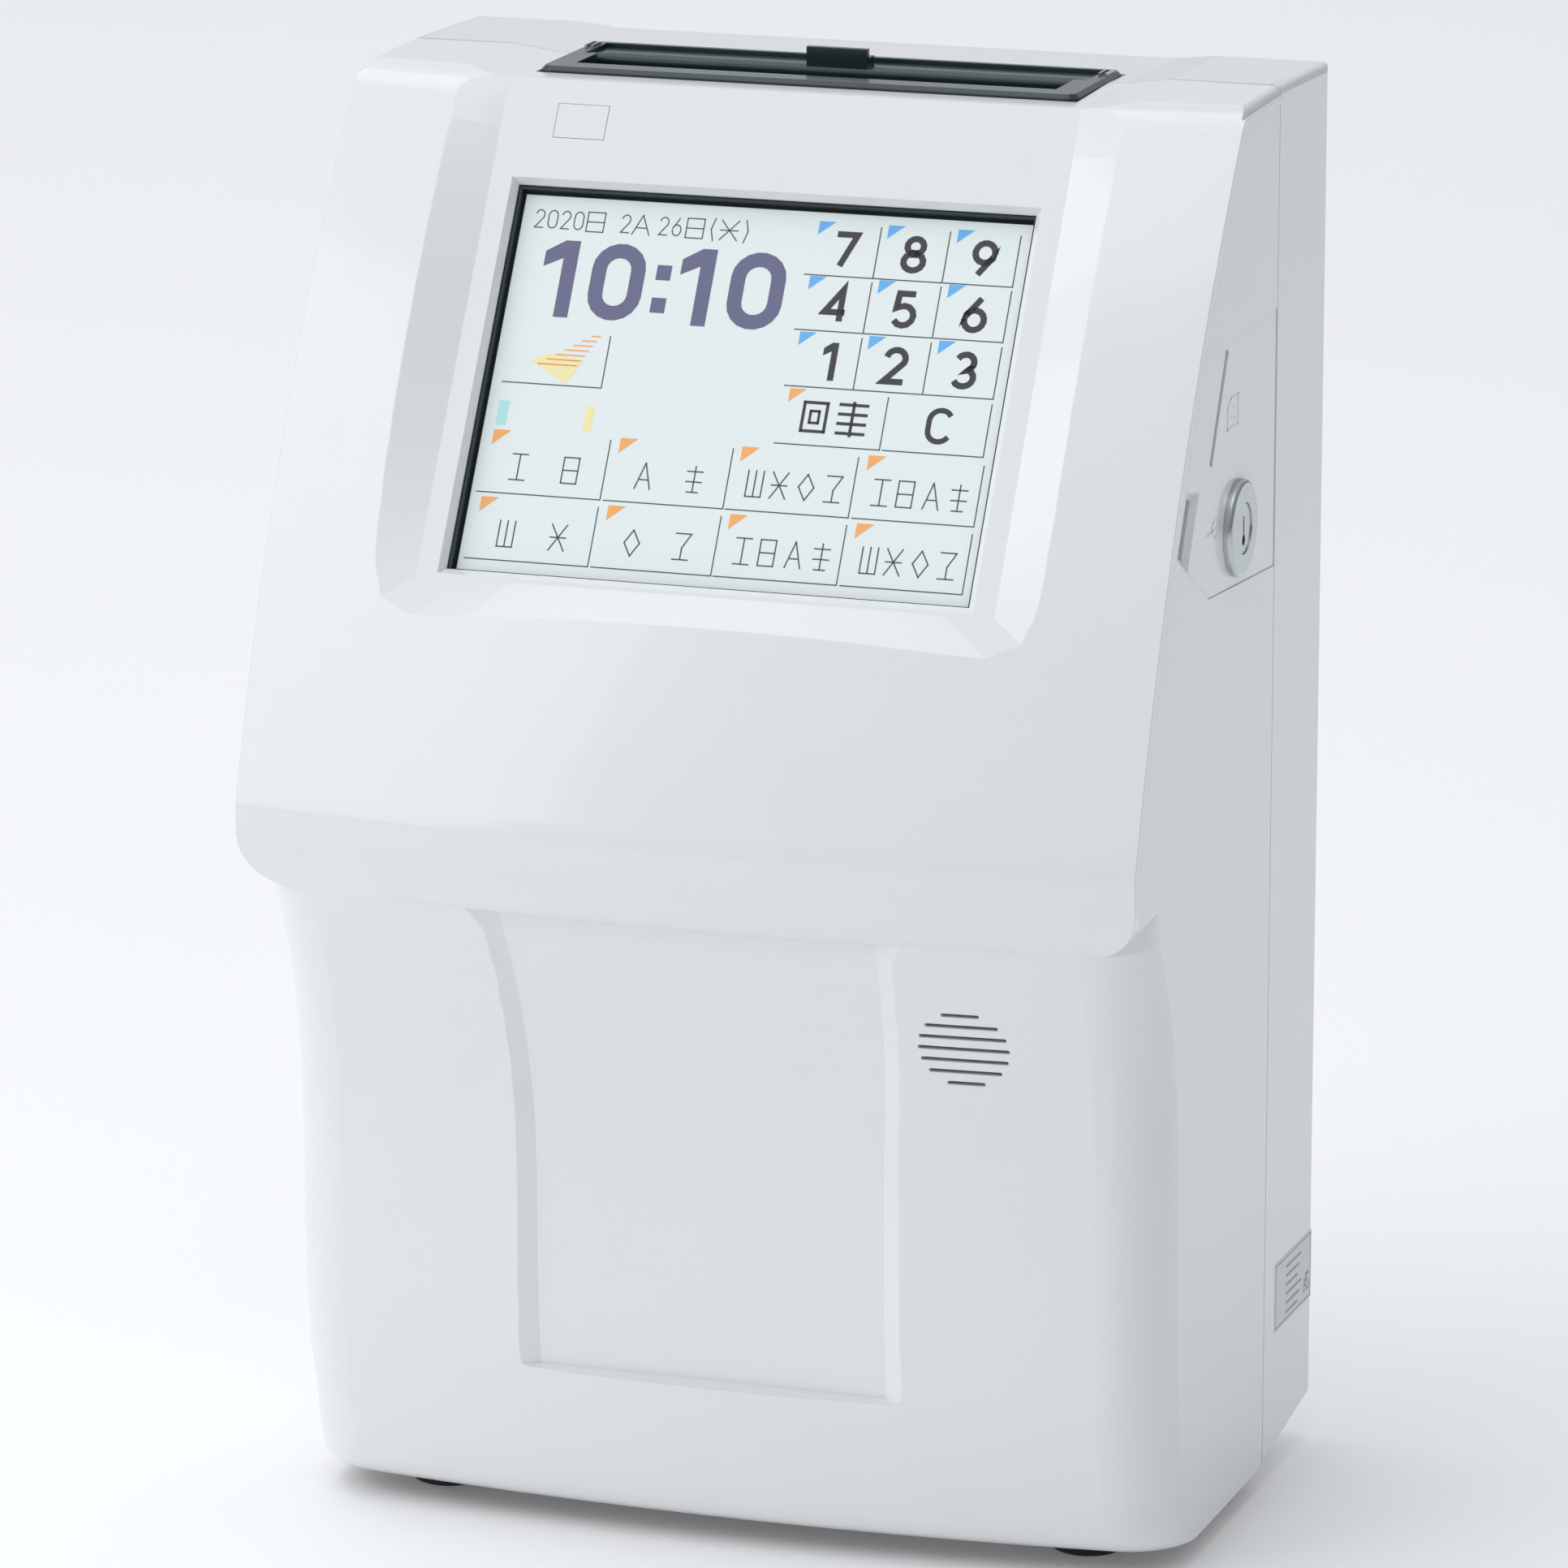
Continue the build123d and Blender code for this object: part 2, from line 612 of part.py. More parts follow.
def lcd_bracket():
    plate = span(-71, 71, -3, 97, -15.5, -14)
    plate = plate - span(-46, -8, 20, 72, -16, -13)
    plate = plate - span(8, 46, 20, 72, -16, -13)
    for side in (-1, 1):
        for s in BRACKET_S:
            plate = plate - Pos(side * BRACKET_X, s, -15) * Cylinder(1.6, 4)
            plate = plate + Pos(side * 58, s - 2, -17.95) * Cylinder(2.6, 4.9)
    return on_floor() * plate


def bracket_screws():
    pieces = []
    for side in (-1, 1):
        for s in BRACKET_S:
            shank = Pos(side * BRACKET_X, s, -12.5) * Cylinder(1.2, 6)
            head = Pos(side * BRACKET_X, s, -16.5) * Cylinder(2.8, 2)
            slot = Pos(side * BRACKET_X, s, -17.4) * Box(4, 0.7, 0.6)
            pieces.append(on_floor() * (shank + head - slot))
    return group(pieces)


def main_board():
    return on_floor() * (span(-62, 62, 2, 88, -22, -20.4) + span(60, 79, 18, 73, -22, -20.4))


def board_chips():
    """Processor, memory, connectors and capacitors on the back of the main board."""
    places = (
        (-20, 8, 40, 64, 1.6),
        (16, 34, 44, 60, 1.4),
        (16, 34, 24, 38, 1.4),
        (-54, -30, 50, 58, 5.5),
        (-54, -30, 30, 38, 5.5),
        (40, 56, 66, 74, 4.5),
        (-20, 4, 10, 16, 5.0),
    )
    pieces = [on_floor() * span(x0, x1, s0, s1, -22 - h, -22) for x0, x1, s0, s1, h in places]
    for x in (44, 52):
        pieces.append(on_floor() * Pos(x, 30, -25) * Cylinder(3.2, 6))
    return group(pieces)


def side_port_panel():
    plate = port_prism(-PORT_GAP, PORT_FACE_X - 2.5, PORT_FACE_X)
    flange = port_prism(3, 95.9, PORT_FACE_X - 2.5) & span(90, 120, -80, SEAM_Y - 4, 100, 300)
    plate = (plate & span(90, 120, -80, SEAM_Y - SEAM_GAP, 100, 300)) + flange
    slope = math.degrees(math.atan2(SD_HEAD[0] - SD_FOOT[0], SD_HEAD[1] - SD_FOOT[1]))
    length = math.dist(SD_HEAD, SD_FOOT)
    middle = Pos(98, (SD_FOOT[0] + SD_HEAD[0]) / 2, (SD_FOOT[1] + SD_HEAD[1]) / 2)
    plate = plate - middle * Rot(-slope, 0, 0) * Box(10, SD_SLOT, length)
    socket = Pos(98, *USB_MIDDLE) * Rot(-slope, 0, 0) * Box(10, 5.2, 13.4)
    plate = plate - socket
    mouth = Pos(PORT_FACE_X, *USB_MIDDLE) * Rot(-slope, 0, 0)
    pocket = mouth * extrude(Plane.YZ * Rectangle(9.0, 18.6), -1.2, taper=48)
    plate = plate - pocket
    return plate - rod_x(LOCK_R - 1.4, 90, 110, LOCK_Y, LOCK_Z)


def sd_socket():
    shell = span(66, 95.6, 43.0, 71.0, -20.4, -17.6)
    return on_floor() * (shell - span(68, 96, 44.6, 69.4, -20.0, -18.4))


def usb_socket():
    body = span(72, 95.6, 20.4, 33.8, -20.4, -9.0)
    return on_floor() * (body - span(74, 96, 21.0, 33.2, -14.2, -9.6))


def speaker_basket():
    ring = rod_y(18, SPEAKER_Y, SPEAKER_Y + 1.5, GRILLE_X, GRILLE_Z)
    ring = ring + span(GRILLE_X - 23, GRILLE_X + 23, SPEAKER_Y, SPEAKER_Y + 1.5, GRILLE_Z - 4, GRILLE_Z + 4)
    ring = ring - rod_y(14.5, SPEAKER_Y - 1, SPEAKER_Y + 3, GRILLE_X, GRILLE_Z)
    spider = rod_y(16, SPEAKER_Y + 1.5, SPEAKER_Y + 6, GRILLE_X, GRILLE_Z)
    spider = spider - rod_y(14.5, SPEAKER_Y, SPEAKER_Y + 4.5, GRILLE_X, GRILLE_Z)
    return ring + spider


def speaker_cone():
    bowl = Pos(GRILLE_X, SPEAKER_Y + 2.2, GRILLE_Z) * Rot(-90, 0, 0) * Cone(13.6, 5, 3.4)
    return bowl


def speaker_magnet():
    return rod_y(9, SPEAKER_Y + 6, SPEAKER_Y + 12, GRILLE_X, GRILLE_Z)


# ------------------------------------------------------------------ lock


def lock_body():
    body = rod_x(LOCK_R - 1.6, 78, PORT_FACE_X, LOCK_Y, LOCK_Z)
    bezel = rod_x(LOCK_R, PORT_FACE_X, LOCK_FACE_X, LOCK_Y, LOCK_Z)
    rim = bezel.edges().filter_by(lambda e: e.center().X > LOCK_FACE_X - 0.05)
    body = body + fillet(rim, 1.0)
    return body - rod_x(LOCK_BORE_R, 70, 110, LOCK_Y, LOCK_Z)


def lock_plug():
    plug = rod_x(LOCK_BORE_R - FIT, 76, LOCK_FACE_X - 0.3, LOCK_Y, LOCK_Z)
    key = span(LOCK_FACE_X - 6, LOCK_FACE_X + 1, LOCK_Y - 0.5, LOCK_Y + 0.5, LOCK_Z - 3.6, LOCK_Z + 2.6)
    key = key + rod_x(1.2, LOCK_FACE_X - 6, LOCK_FACE_X + 1, LOCK_Y, LOCK_Z - 2.6)
    return plug - key


def lock_nut():
    nut = Pos(93.4, LOCK_Y, LOCK_Z) * Rot(0, 90, 0) * extrude(RegularPolygon(12.5, 6), 2.5)
    return nut - rod_x(LOCK_R - 1.6, 80, 110, LOCK_Y, LOCK_Z)


def lock_cam():
    """Blade that reaches behind the keeper, with its screw head."""
    blade = span(74, 76, LOCK_Y, LOCK_Y + 15, LOCK_Z - 4, LOCK_Z + 4)
    return blade + rod_x(6, 74, 76, LOCK_Y, LOCK_Z) + rod_x(3.2, 71.8, 74, LOCK_Y, LOCK_Z)


def lock_keeper():
    arm = span(FRAME_X, FRAME_X + 1.5, -4, 20, 237, 249)
    lip = span(FRAME_X, 80, -4, -2.5, 237, 249)
    return arm + lip


# ------------------------------------------------------------------ slot frame and flap


def slot_frame():
    blank = RectangleRounded(2 * SLOT_W, SLOT_BACK_Y - SLOT_FRONT_Y, 3)
    middle = (SLOT_FRONT_Y + SLOT_BACK_Y) / 2
    frame = Pos(0, middle, SLOT_FOOT_Z) * extrude(blank, SLOT_TOP_Z - SLOT_FOOT_Z)
    top_edges = frame.edges().filter_by(lambda e: e.center().Z > SLOT_TOP_Z - 0.1)
    frame = chamfer(top_edges, 0.9)
    wide = THROAT_BACK_Y - THROAT_FRONT_Y
    mouth_y = (THROAT_FRONT_Y + THROAT_BACK_Y) / 2
    frame = frame - span(-THROAT_W, THROAT_W, THROAT_FRONT_Y, THROAT_BACK_Y, 312, 330)
    funnel = loft([
        Pos(0, mouth_y, 312.05) * Rectangle(2 * THROAT_W, wide),
        Pos(0, CARD_Y, 303) * Rectangle(2 * CARD_W, CARD_GAP),
    ])
    frame = frame - funnel - span(-CARD_W, CARD_W, CARD_Y - CARD_GAP / 2, CARD_Y + CARD_GAP / 2, 290, 304)
    frame = frame - span(-57.8, 57.8, THROAT_BACK_Y - 0.5, 46.6, 310.5, 330)
    frame = frame - rod_x(1.5 + FIT, -60.3, 60.3, FLAP_AXIS_Y, FLAP_AXIS_Z)
    for side in (-1, 1):
        frame = frame + span(side * 57.0, side * 61.0, 20, 46, FRAME_TOP_Z, SLOT_FOOT_Z)
    return frame


def slot_flap():
    bar = span(-57.4, 57.4, FLAP_AXIS_Y, 46.0, 313.6, 316.4)
    nose = rod_x(1.4, -57.4, 57.4, FLAP_AXIS_Y, 315.0)
    tab = span(-7, 7, FLAP_AXIS_Y - 1.0, FLAP_AXIS_Y + 0.6, 315, 321.0)
    ears = span(-7, -5.6, FLAP_AXIS_Y - 1.0, FLAP_AXIS_Y + 4, 315, 319)
    ears = ears + span(5.6, 7, FLAP_AXIS_Y - 1.0, FLAP_AXIS_Y + 4, 315, 319)
    groove = span(-55, 55, 38.4, 39.2, 316.0, 317)
    bar = bar + nose + tab + ears - groove + span(-7, 7, 38.4, 39.2, 315.5, 316.4)
    return bar + rod_x(1.5, -60.1, 60.1, FLAP_AXIS_Y, FLAP_AXIS_Z)


def flap_clips():
    """Small U-shaped spring clips on the frame's rim beside the flap."""
    pieces = []
    for side in (-1, 1):
        x0, x1 = sorted((side * 58.4, side * 60.4))
        clip = span(x0, x1, 39, 44.5, SLOT_TOP_Z, SLOT_TOP_Z + 0.6)
        pieces.append(clip - span(x0 + 0.5, x1 - 0.5, 38, 43.9, SLOT_TOP_Z - 1, SLOT_TOP_Z + 2))
    return group(pieces)


# ------------------------------------------------------------------ chassis


def base_plate():
    plate = span(-BASE_W, BASE_W, BASE_FRONT_Y, BASE_BACK_Y, BASE_Z, BASE_Z + BASE_T)
    for side in (-1, 1):
        ear = span(side * 86, side * 88, HINGE_Y, BASE_FRONT_Y + 12, HINGE_Z - 4, HINGE_Z + 4)
        ear = ear + rod_x(4, side * 86, side * 88, HINGE_Y, HINGE_Z)
        ear = ear - rod_x(HINGE_R, side * 80, side * 95, HINGE_Y, HINGE_Z)
        plate = plate + ear
    for x in (-45, 0, 45):
        plate = plate - rod_z(7, 0, 30, x, 15)
    return plate


def hinge_pins():
    return group([rod_x(HINGE_R, side * 75.5, side * 88.5, HINGE_Y, HINGE_Z) for side in (-1, 1)])


def side_frame(side):
    outline = (
        (FRAME_FRONT_Y, BASE_Z + BASE_T),
        (FRAME_FRONT_Y, 190),
        (22, 276),
        (22, FRAME_TOP_Z),
        (FRAME_BACK_Y, FRAME_TOP_Z),
        (FRAME_BACK_Y, BASE_Z + BASE_T),
    )
    x0, x1 = sorted((side * (FRAME_X - FRAME_T), side * FRAME_X))
    plate = side_prism(outline, x0, x1)
    flange = span(side * 56, side * FRAME_X, 22, FRAME_BACK_Y, FRAME_TOP_Z - FRAME_T, FRAME_TOP_Z)
    foot = span(side * 52, side * FRAME_X, -10, FRAME_BACK_Y, BASE_Z + BASE_T, BASE_Z + 2 * BASE_T)
    back = span(side * 56, side * FRAME_X, FRAME_BACK_Y, FRAME_BACK_Y + 1.5, 30, 282)
    plate = plate + flange + foot + back
    for z in FEED_Z:
        plate = plate - rod_x(5, side * 60, side * 70, FEED_Y, z)
        plate = plate - rod_x(PINCH_SHAFT_R + FIT, side * 60, side * 70, PINCH_Y, z)
    for y in RAIL_Y:
        plate = plate - rod_x(RAIL_R, side * 60, side * 70, y, RAIL_Z)
    if side > 0:
        plate = plate - rod_x(10, 60, 70, FEED_MOTOR_Y, FEED_MOTOR_Z)
    for y, z, r in ((48, 60, 9), (48, 200, 12), (48, 262, 8), (-8, 60, 10), (-8, 105, 10)):
        plate = plate - rod_x(r, side * 60, side * 70, y, z)
    return plate


def bushes():
    """Flanged bearing bushes for the two feed shafts."""
    pieces = []
    for side in (-1, 1):
        for z in FEED_Z:
            bush = rod_x(5, side * (FRAME_X - FRAME_T), side * FRAME_X, FEED_Y, z)
            inner_x = FRAME_X - FRAME_T
            bush = bush + rod_x(6.5, side * (inner_x - 1.2), side * inner_x, FEED_Y, z)
            pieces.append(bush - rod_x(SHAFT_R + FIT, side * 60, side * 70, FEED_Y, z))
    return group(pieces)


def card_guide(front):
    """One wall of the card channel, with windows for rollers and print head."""
    half = CARD_GAP / 2
    y0 = CARD_Y - half - GUIDE_T if front else CARD_Y + half
    y1 = y0 + GUIDE_T
    plate = span(-GUIDE_W, GUIDE_W, y0, y1, GUIDE_BOTTOM_Z, GUIDE_TOP_Z)
    for z in FEED_Z:
        for x in (-ROLLER_X, ROLLER_X):
            plate = plate - span(x - 9, x + 9, y0 - 1, y1 + 1, z - 9, z + 9)
    reach = 59 if front else 57
    plate = plate - span(-reach, reach, y0 - 1, y1 + 1, PRINT_Z - 8, PRINT_Z + 8)
    if not front:
        stop_y = y0 - CARD_GAP - GUIDE_T
        plate = plate + span(-GUIDE_W, GUIDE_W, stop_y, y1, GUIDE_BOTTOM_Z - 4, GUIDE_BOTTOM_Z)
    for side in (-1, 1):
        plate = plate - span(side * 56, side * 66, y0 - 1, y1 + 1, FRAME_TOP_Z - 2, 400)
    return plate


def platen():
    return span(-56, 56, CARD_Y + 2.6, CARD_Y + 9, PRINT_Z - 4, PRINT_Z + 4)


def platen_beam():
    beam = span(-64.5, 64.5, CARD_Y + 9, CARD_Y + 11, PRINT_Z - 9, PRINT_Z + 9)
    return beam


# ------------------------------------------------------------------ card feed


def feed_shaft(z):
    right = FEED_BELT_X + BELT_W + 3
    return rod_x(SHAFT_R, -72 if z < 200 else -84, right, FEED_Y, z)


def feed_rollers(z):
    pieces = []
    for x in (-ROLLER_X, ROLLER_X):
        roller = rod_x(ROLLER_R, x - ROLLER_L / 2, x + ROLLER_L / 2, FEED_Y, z)
        pieces.append(roller - rod_x(SHAFT_R, x - 20, x + 20, FEED_Y, z))
    return group(pieces)


def flanged_pulley(radius, bore, y, z):
    x0 = FEED_BELT_X
    pulley = rod_x(radius, x0, x0 + BELT_W + 1, y, z)
    pulley = pulley + rod_x(radius + 2, x0 - 1, x0, y, z)
    pulley = pulley + rod_x(radius + 2, x0 + BELT_W + 1, x0 + BELT_W + 2, y, z)
    return pulley - rod_x(bore, x0 - 3, x0 + BELT_W + 3, y, z)


def feed_pulley(z):
    return flanged_pulley(FEED_PULLEY_R, SHAFT_R, FEED_Y, z)


def belt_sheet(circles, grow):
    """Tight loop round (u, v, radius) circles."""
    rims = Sketch() + [Pos(u, v) * Circle(r + grow) for u, v, r in circles]
    return make_hull(rims.edges())


def feed_belt():
    rims = [(FEED_Y, z, FEED_PULLEY_R) for z in FEED_Z]
    rims.append((FEED_MOTOR_Y, FEED_MOTOR_Z, FEED_MOTOR_PULLEY_R))
    loop = belt_sheet(rims, FIT + BELT_T) - belt_sheet(rims, FIT)
    return Pos(FEED_BELT_X + 0.5, 0, 0) * extrude(Plane.YZ * loop, BELT_W)


def feed_motor():
    """Motor can with the boss that centres it in the side frame."""
    y, z = FEED_MOTOR_Y, FEED_MOTOR_Z
    can = rod_x(14.5, 34, FRAME_X - FRAME_T, y, z) + rod_x(9.9, FRAME_X - FRAME_T, FRAME_X, y, z)
    return can - rod_x(2.2, 30, 80, y, z)


def feed_motor_shaft():
    return rod_x(2.0, 36, FEED_BELT_X + BELT_W + 3, FEED_MOTOR_Y, FEED_MOTOR_Z)


def feed_motor_pulley():
    return flanged_pulley(FEED_MOTOR_PULLEY_R, 2.0, FEED_MOTOR_Y, FEED_MOTOR_Z)


def jam_knob():
    knob = rod_x(11, -84, -74, FEED_Y, FEED_Z[0])
    for step in range(12):
        turn = math.radians(30 * step)
        knob = knob - rod_x(1.6, -85, -73, FEED_Y + 11.6 * math.cos(turn), FEED_Z[0] + 11.6 * math.sin(turn))
    return knob - rod_x(SHAFT_R, -85, -70, FEED_Y, FEED_Z[0])


def pinch_set(z):
    shaft = rod_x(PINCH_SHAFT_R, -68, 68, PINCH_Y, z)
    for x in (-ROLLER_X, ROLLER_X):
        shaft = shaft + rod_x(PINCH_R, x - ROLLER_L / 2, x + ROLLER_L / 2, PINCH_Y, z)
    return shaft


# ------------------------------------------------------------------ print carriage


def carriage_rails():
    return group([rod_x(RAIL_R, -FRAME_X - 1, FRAME_X + 1, y, RAIL_Z) for y in RAIL_Y])


def carriage():
    x = CARRIAGE_HOME_X
    block = span(x - 17, x + 17, RAIL_Y[0] - 5.2, RAIL_Y[1] + 7, RAIL_Z - 6, RAIL_Z + 6)
    for y in RAIL_Y:
        block = block - rod_x(RAIL_R + FIT, x - 20, x + 20, y, RAIL_Z)
    low = CARRIAGE_BELT_Z - CARRIAGE_PULLEY_R
    clamp = span(x - 6, x + 6, CARRIAGE_BELT_Y - 4, RAIL_Y[0] - 5, low - 5, low + 3.5)
    clamp = clamp - span(x - 8, x + 8, CARRIAGE_BELT_Y - 3.3, CARRIAGE_BELT_Y + 3.3, low - 1.8, low + 0.25)
    return block + clamp


def print_head():
    x = CARRIAGE_HOME_X
    body = span(x - 11, x + 11, -8, 14, RAIL_Z + 6, PRINT_Z + 8)
    for step in range(6):
        y = -5 + 3 * step
        body = body - span(x - 12, x - 8.5, y, y + 1.2, RAIL_Z + 8, PRINT_Z + 9)
        body = body - span(x + 8.5, x + 12, y, y + 1.2, RAIL_Z + 8, PRINT_Z + 9)
    nose = span(x - 5, x + 5, 14, CARD_Y - 1.3, PRINT_Z - 5, PRINT_Z + 5)
    return body + nose


def carriage_plate():
    plate = span(-FRAME_X + FRAME_T, FRAME_X - FRAME_T, FRAME_FRONT_Y, FRAME_FRONT_Y + 1.5, 136, 164)
    plate = plate - rod_y(5, -40, -20, -CARRIAGE_PULLEY_X, CARRIAGE_BELT_Z)
    return plate - rod_y(2.0, -40, -20, CARRIAGE_PULLEY_X, CARRIAGE_BELT_Z)


def carriage_motor():
    """Stepping motor under the left end of the carriage belt."""
    x = -CARRIAGE_PULLEY_X
    body = span(x - 8, x + 22, -56, FRAME_FRONT_Y, 139, 161)
    return body - rod_y(1.7, -60, -20, x, CARRIAGE_BELT_Z)


def carriage_pulley(side):
    x = side * CARRIAGE_PULLEY_X
    pulley = rod_y(CARRIAGE_PULLEY_R, CARRIAGE_BELT_Y - 3.2, CARRIAGE_BELT_Y + 3.2, x, CARRIAGE_BELT_Z)
    if side < 0:
        return pulley + rod_y(1.5, -50, CARRIAGE_BELT_Y - 3, x, CARRIAGE_BELT_Z)
    return pulley - rod_y(2.0 + FIT, -40, -10, x, CARRIAGE_BELT_Z)


def idler_stud():
    return rod_y(2.0, FRAME_FRONT_Y, CARRIAGE_BELT_Y + 4.4, CARRIAGE_PULLEY_X, CARRIAGE_BELT_Z)


def carriage_belt():
    rims = [(side * CARRIAGE_PULLEY_X, CARRIAGE_BELT_Z, CARRIAGE_PULLEY_R) for side in (-1, 1)]
    loop = belt_sheet(rims, FIT + BELT_T) - belt_sheet(rims, FIT)
    return Pos(0, CARRIAGE_BELT_Y + 3, 0) * extrude(Plane.XZ * loop, 6)


def ribbon_cassette():
    case = span(-50, 50, -26, 12, 178, 189)
    for side in (-1, 1):
        case = case + span(side * 50, side * 57, 2, 12, 158, 189)
        case = case + span(side * 54, side * 57, 12, CARD_Y - 0.4, 158, 172.6)
    legs = span(-64.5, -57, -16, 6, 180, 184) + span(57, 64.5, -16, 6, 180, 184)
    case = case + legs + span(-57, 57, -10, 6, 180, 189)
    return case - rod_z(3.1, 185, 200, 30, -8)


def ribbon_knob():
    knob = rod_z(9, 189.4, 194.5, 30, -8)
    for step in range(10):
        turn = math.radians(36 * step)
        knob = knob - rod_z(1.5, 189, 195, 30 + 9.5 * math.cos(turn), -8 + 9.5 * math.sin(turn))
    return knob + rod_z(3.0, 185.3, 189.5, 30, -8)


# ------------------------------------------------------------------ power


def power_board():
    return span(-50, 50, 38, 68, 23, 24.6)


def power_parts():
    pieces = [
        span(-18, 12, 42, 66, 24.6, 50),
        span(18, 30, 42, 64, 24.6, 40),
    ]
    for x in (36, 44):
        pieces.append(rod_z(3.6, 24.6, 44, x, 46))
    return group(pieces)


def power_inlet():
    body = span(-52, -30, 56, BACK_Y - 0.6, 28, 44)
    return body - (span(-49.5, -32.5, 62, BACK_Y + 1, 30.5, 41.5) - span(-45, -37, 62, 74, 34, 38))


def board_posts():
    pieces = []
    for x in (-46, 46):
        for y in (42, 64):
            pieces.append(rod_z(2.5, BASE_Z + BASE_T, 23, x, y))
    return group(pieces)


def save(name, piece):
    export_step(piece, f"parts/{name}.step")
    bottom = piece.bounding_box().min.Z
    print(f"{name:22s} {piece.volume:12.1f} {len(piece.solids()):3d} {bottom:8.2f} {piece.is_valid}")


def main():
    os.makedirs("parts", exist_ok=True)
    nodes = {
        "front_cover": front_cover(),
        "rear_case": rear_case(),
        "feet": feet(),
        "badge_plate": badge_plate(),
        "rating_label": rating_label(),
        "window_gasket": window_gasket(),
        "touch_panel": touch_panel(),
        "lcd_panel": lcd_panel(),
        "backlight_case": backlight_case(),
        "lcd_bracket": lcd_bracket(),
        "bracket_screws": bracket_screws(),
        "main_board": main_board(),
        "board_chips": board_chips(),
        "side_port_panel": side_port_panel(),
        "sd_socket": sd_socket(),
        "usb_socket": usb_socket(),
        "speaker_basket": speaker_basket(),
        "speaker_cone": speaker_cone(),
        "speaker_magnet": speaker_magnet(),
        "lock_body": lock_body(),
        "lock_plug": lock_plug(),
        "lock_nut": lock_nut(),
        "lock_cam": lock_cam(),
        "lock_keeper": lock_keeper(),
        "slot_frame": slot_frame(),
        "slot_flap": slot_flap(),
        "flap_clips": flap_clips(),
        "base_plate": base_plate(),
        "hinge_pins": hinge_pins(),
        "left_side_frame": side_frame(-1),
        "right_side_frame": side_frame(1),
        "bushes": bushes(),
        "front_card_guide": card_guide(True),
        "rear_card_guide": card_guide(False),
        "platen": platen(),
        "platen_beam": platen_beam(),
        "upper_feed_shaft": feed_shaft(FEED_Z[0]),
        "upper_feed_rollers": feed_rollers(FEED_Z[0]),
        "upper_feed_pulley": feed_pulley(FEED_Z[0]),
        "lower_feed_shaft": feed_shaft(FEED_Z[1]),
        "lower_feed_rollers": feed_rollers(FEED_Z[1]),
        "lower_feed_pulley": feed_pulley(FEED_Z[1]),
        "feed_belt": feed_belt(),
        "feed_motor": feed_motor(),
        "feed_motor_pulley": feed_motor_pulley() + feed_motor_shaft(),
        "jam_knob": jam_knob(),
        "upper_pinch_roller": pinch_set(FEED_Z[0]),
        "lower_pinch_roller": pinch_set(FEED_Z[1]),
        "carriage_rails": carriage_rails(),
        "carriage": carriage(),
        "print_head": print_head(),
        "carriage_plate": carriage_plate() + idler_stud(),
        "carriage_motor": carriage_motor(),
        "carriage_drive_pulley": carriage_pulley(-1),
        "carriage_idler_pulley": carriage_pulley(1),
        "carriage_belt": carriage_belt(),
        "ribbon_cassette": ribbon_cassette(),
        "ribbon_knob": ribbon_knob(),
        "power_unit": power_board() + power_parts() + board_posts(),
        "power_inlet": power_inlet(),
    }
    for name, piece in nodes.items():
        save(name, piece)
    whole = Compound(children=list(nodes.values())).bounding_box()
    print("box", whole.min, whole.max)


if __name__ == "__main__":
    main()
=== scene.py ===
import json
import math

import bmesh
import bpy
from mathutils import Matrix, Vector


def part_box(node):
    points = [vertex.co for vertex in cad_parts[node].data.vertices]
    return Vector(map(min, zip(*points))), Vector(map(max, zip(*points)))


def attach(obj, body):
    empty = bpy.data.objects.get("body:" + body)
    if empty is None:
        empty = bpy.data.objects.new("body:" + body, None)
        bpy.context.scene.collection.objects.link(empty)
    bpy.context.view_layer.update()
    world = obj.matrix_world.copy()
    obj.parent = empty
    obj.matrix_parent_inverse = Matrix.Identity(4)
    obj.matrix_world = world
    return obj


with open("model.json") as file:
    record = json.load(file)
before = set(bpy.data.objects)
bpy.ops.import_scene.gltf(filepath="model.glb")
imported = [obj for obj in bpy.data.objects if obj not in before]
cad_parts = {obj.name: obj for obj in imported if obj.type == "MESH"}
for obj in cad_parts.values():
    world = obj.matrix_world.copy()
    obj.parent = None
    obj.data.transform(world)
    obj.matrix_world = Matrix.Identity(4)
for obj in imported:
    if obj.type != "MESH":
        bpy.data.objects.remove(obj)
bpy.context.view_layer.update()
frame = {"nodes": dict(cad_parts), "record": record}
MM = 0.001

# ------------------------------------------------------------------ place and size of the screen

LEAN = math.radians(31.26)      # how far the screen leans back from upright
GLASS_T = 1.1 * MM              # thickness of the touch glass
ACTIVE_W = 115.2 * MM           # picture area of the 5.7-inch display
ACTIVE_H = 86.4 * MM
PICTURE_DROP = 0.2 * MM         # how far the picture's middle lies below the glass's middle
LIT_U = (-0.001, 1.001)         # edges of the lit ground, as fractions of the picture
LIT_V = (-0.001, 1.001)
BORDER = 2.75 * MM              # black border between the picture and the window's edge
INK_LIFT = 0.06 * MM            # how far the drawn marks stand off the glass
GROUND_LIFT = 0.02 * MM         # the same for the lit ground and the black border
INK_T = 0.03 * MM               # thickness of the drawn marks and the black border
GROUND_T = 0.025 * MM           # thickness of the lit ground

# Upward and outward directions of the sloping glass.
SLOPE_UP = Vector((0, math.sin(LEAN), math.cos(LEAN)))
SLOPE_OUT = Vector((0, -math.cos(LEAN), math.sin(LEAN)))


def front_of_glass():
    """The middle of the touch glass's front face."""
    low, high = (Vector(corner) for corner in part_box("touch_panel"))
    middle = (low + high) / 2
    middle.x = 0
    return middle + SLOPE_OUT * GLASS_T / 2


GLASS_MIDDLE = front_of_glass()


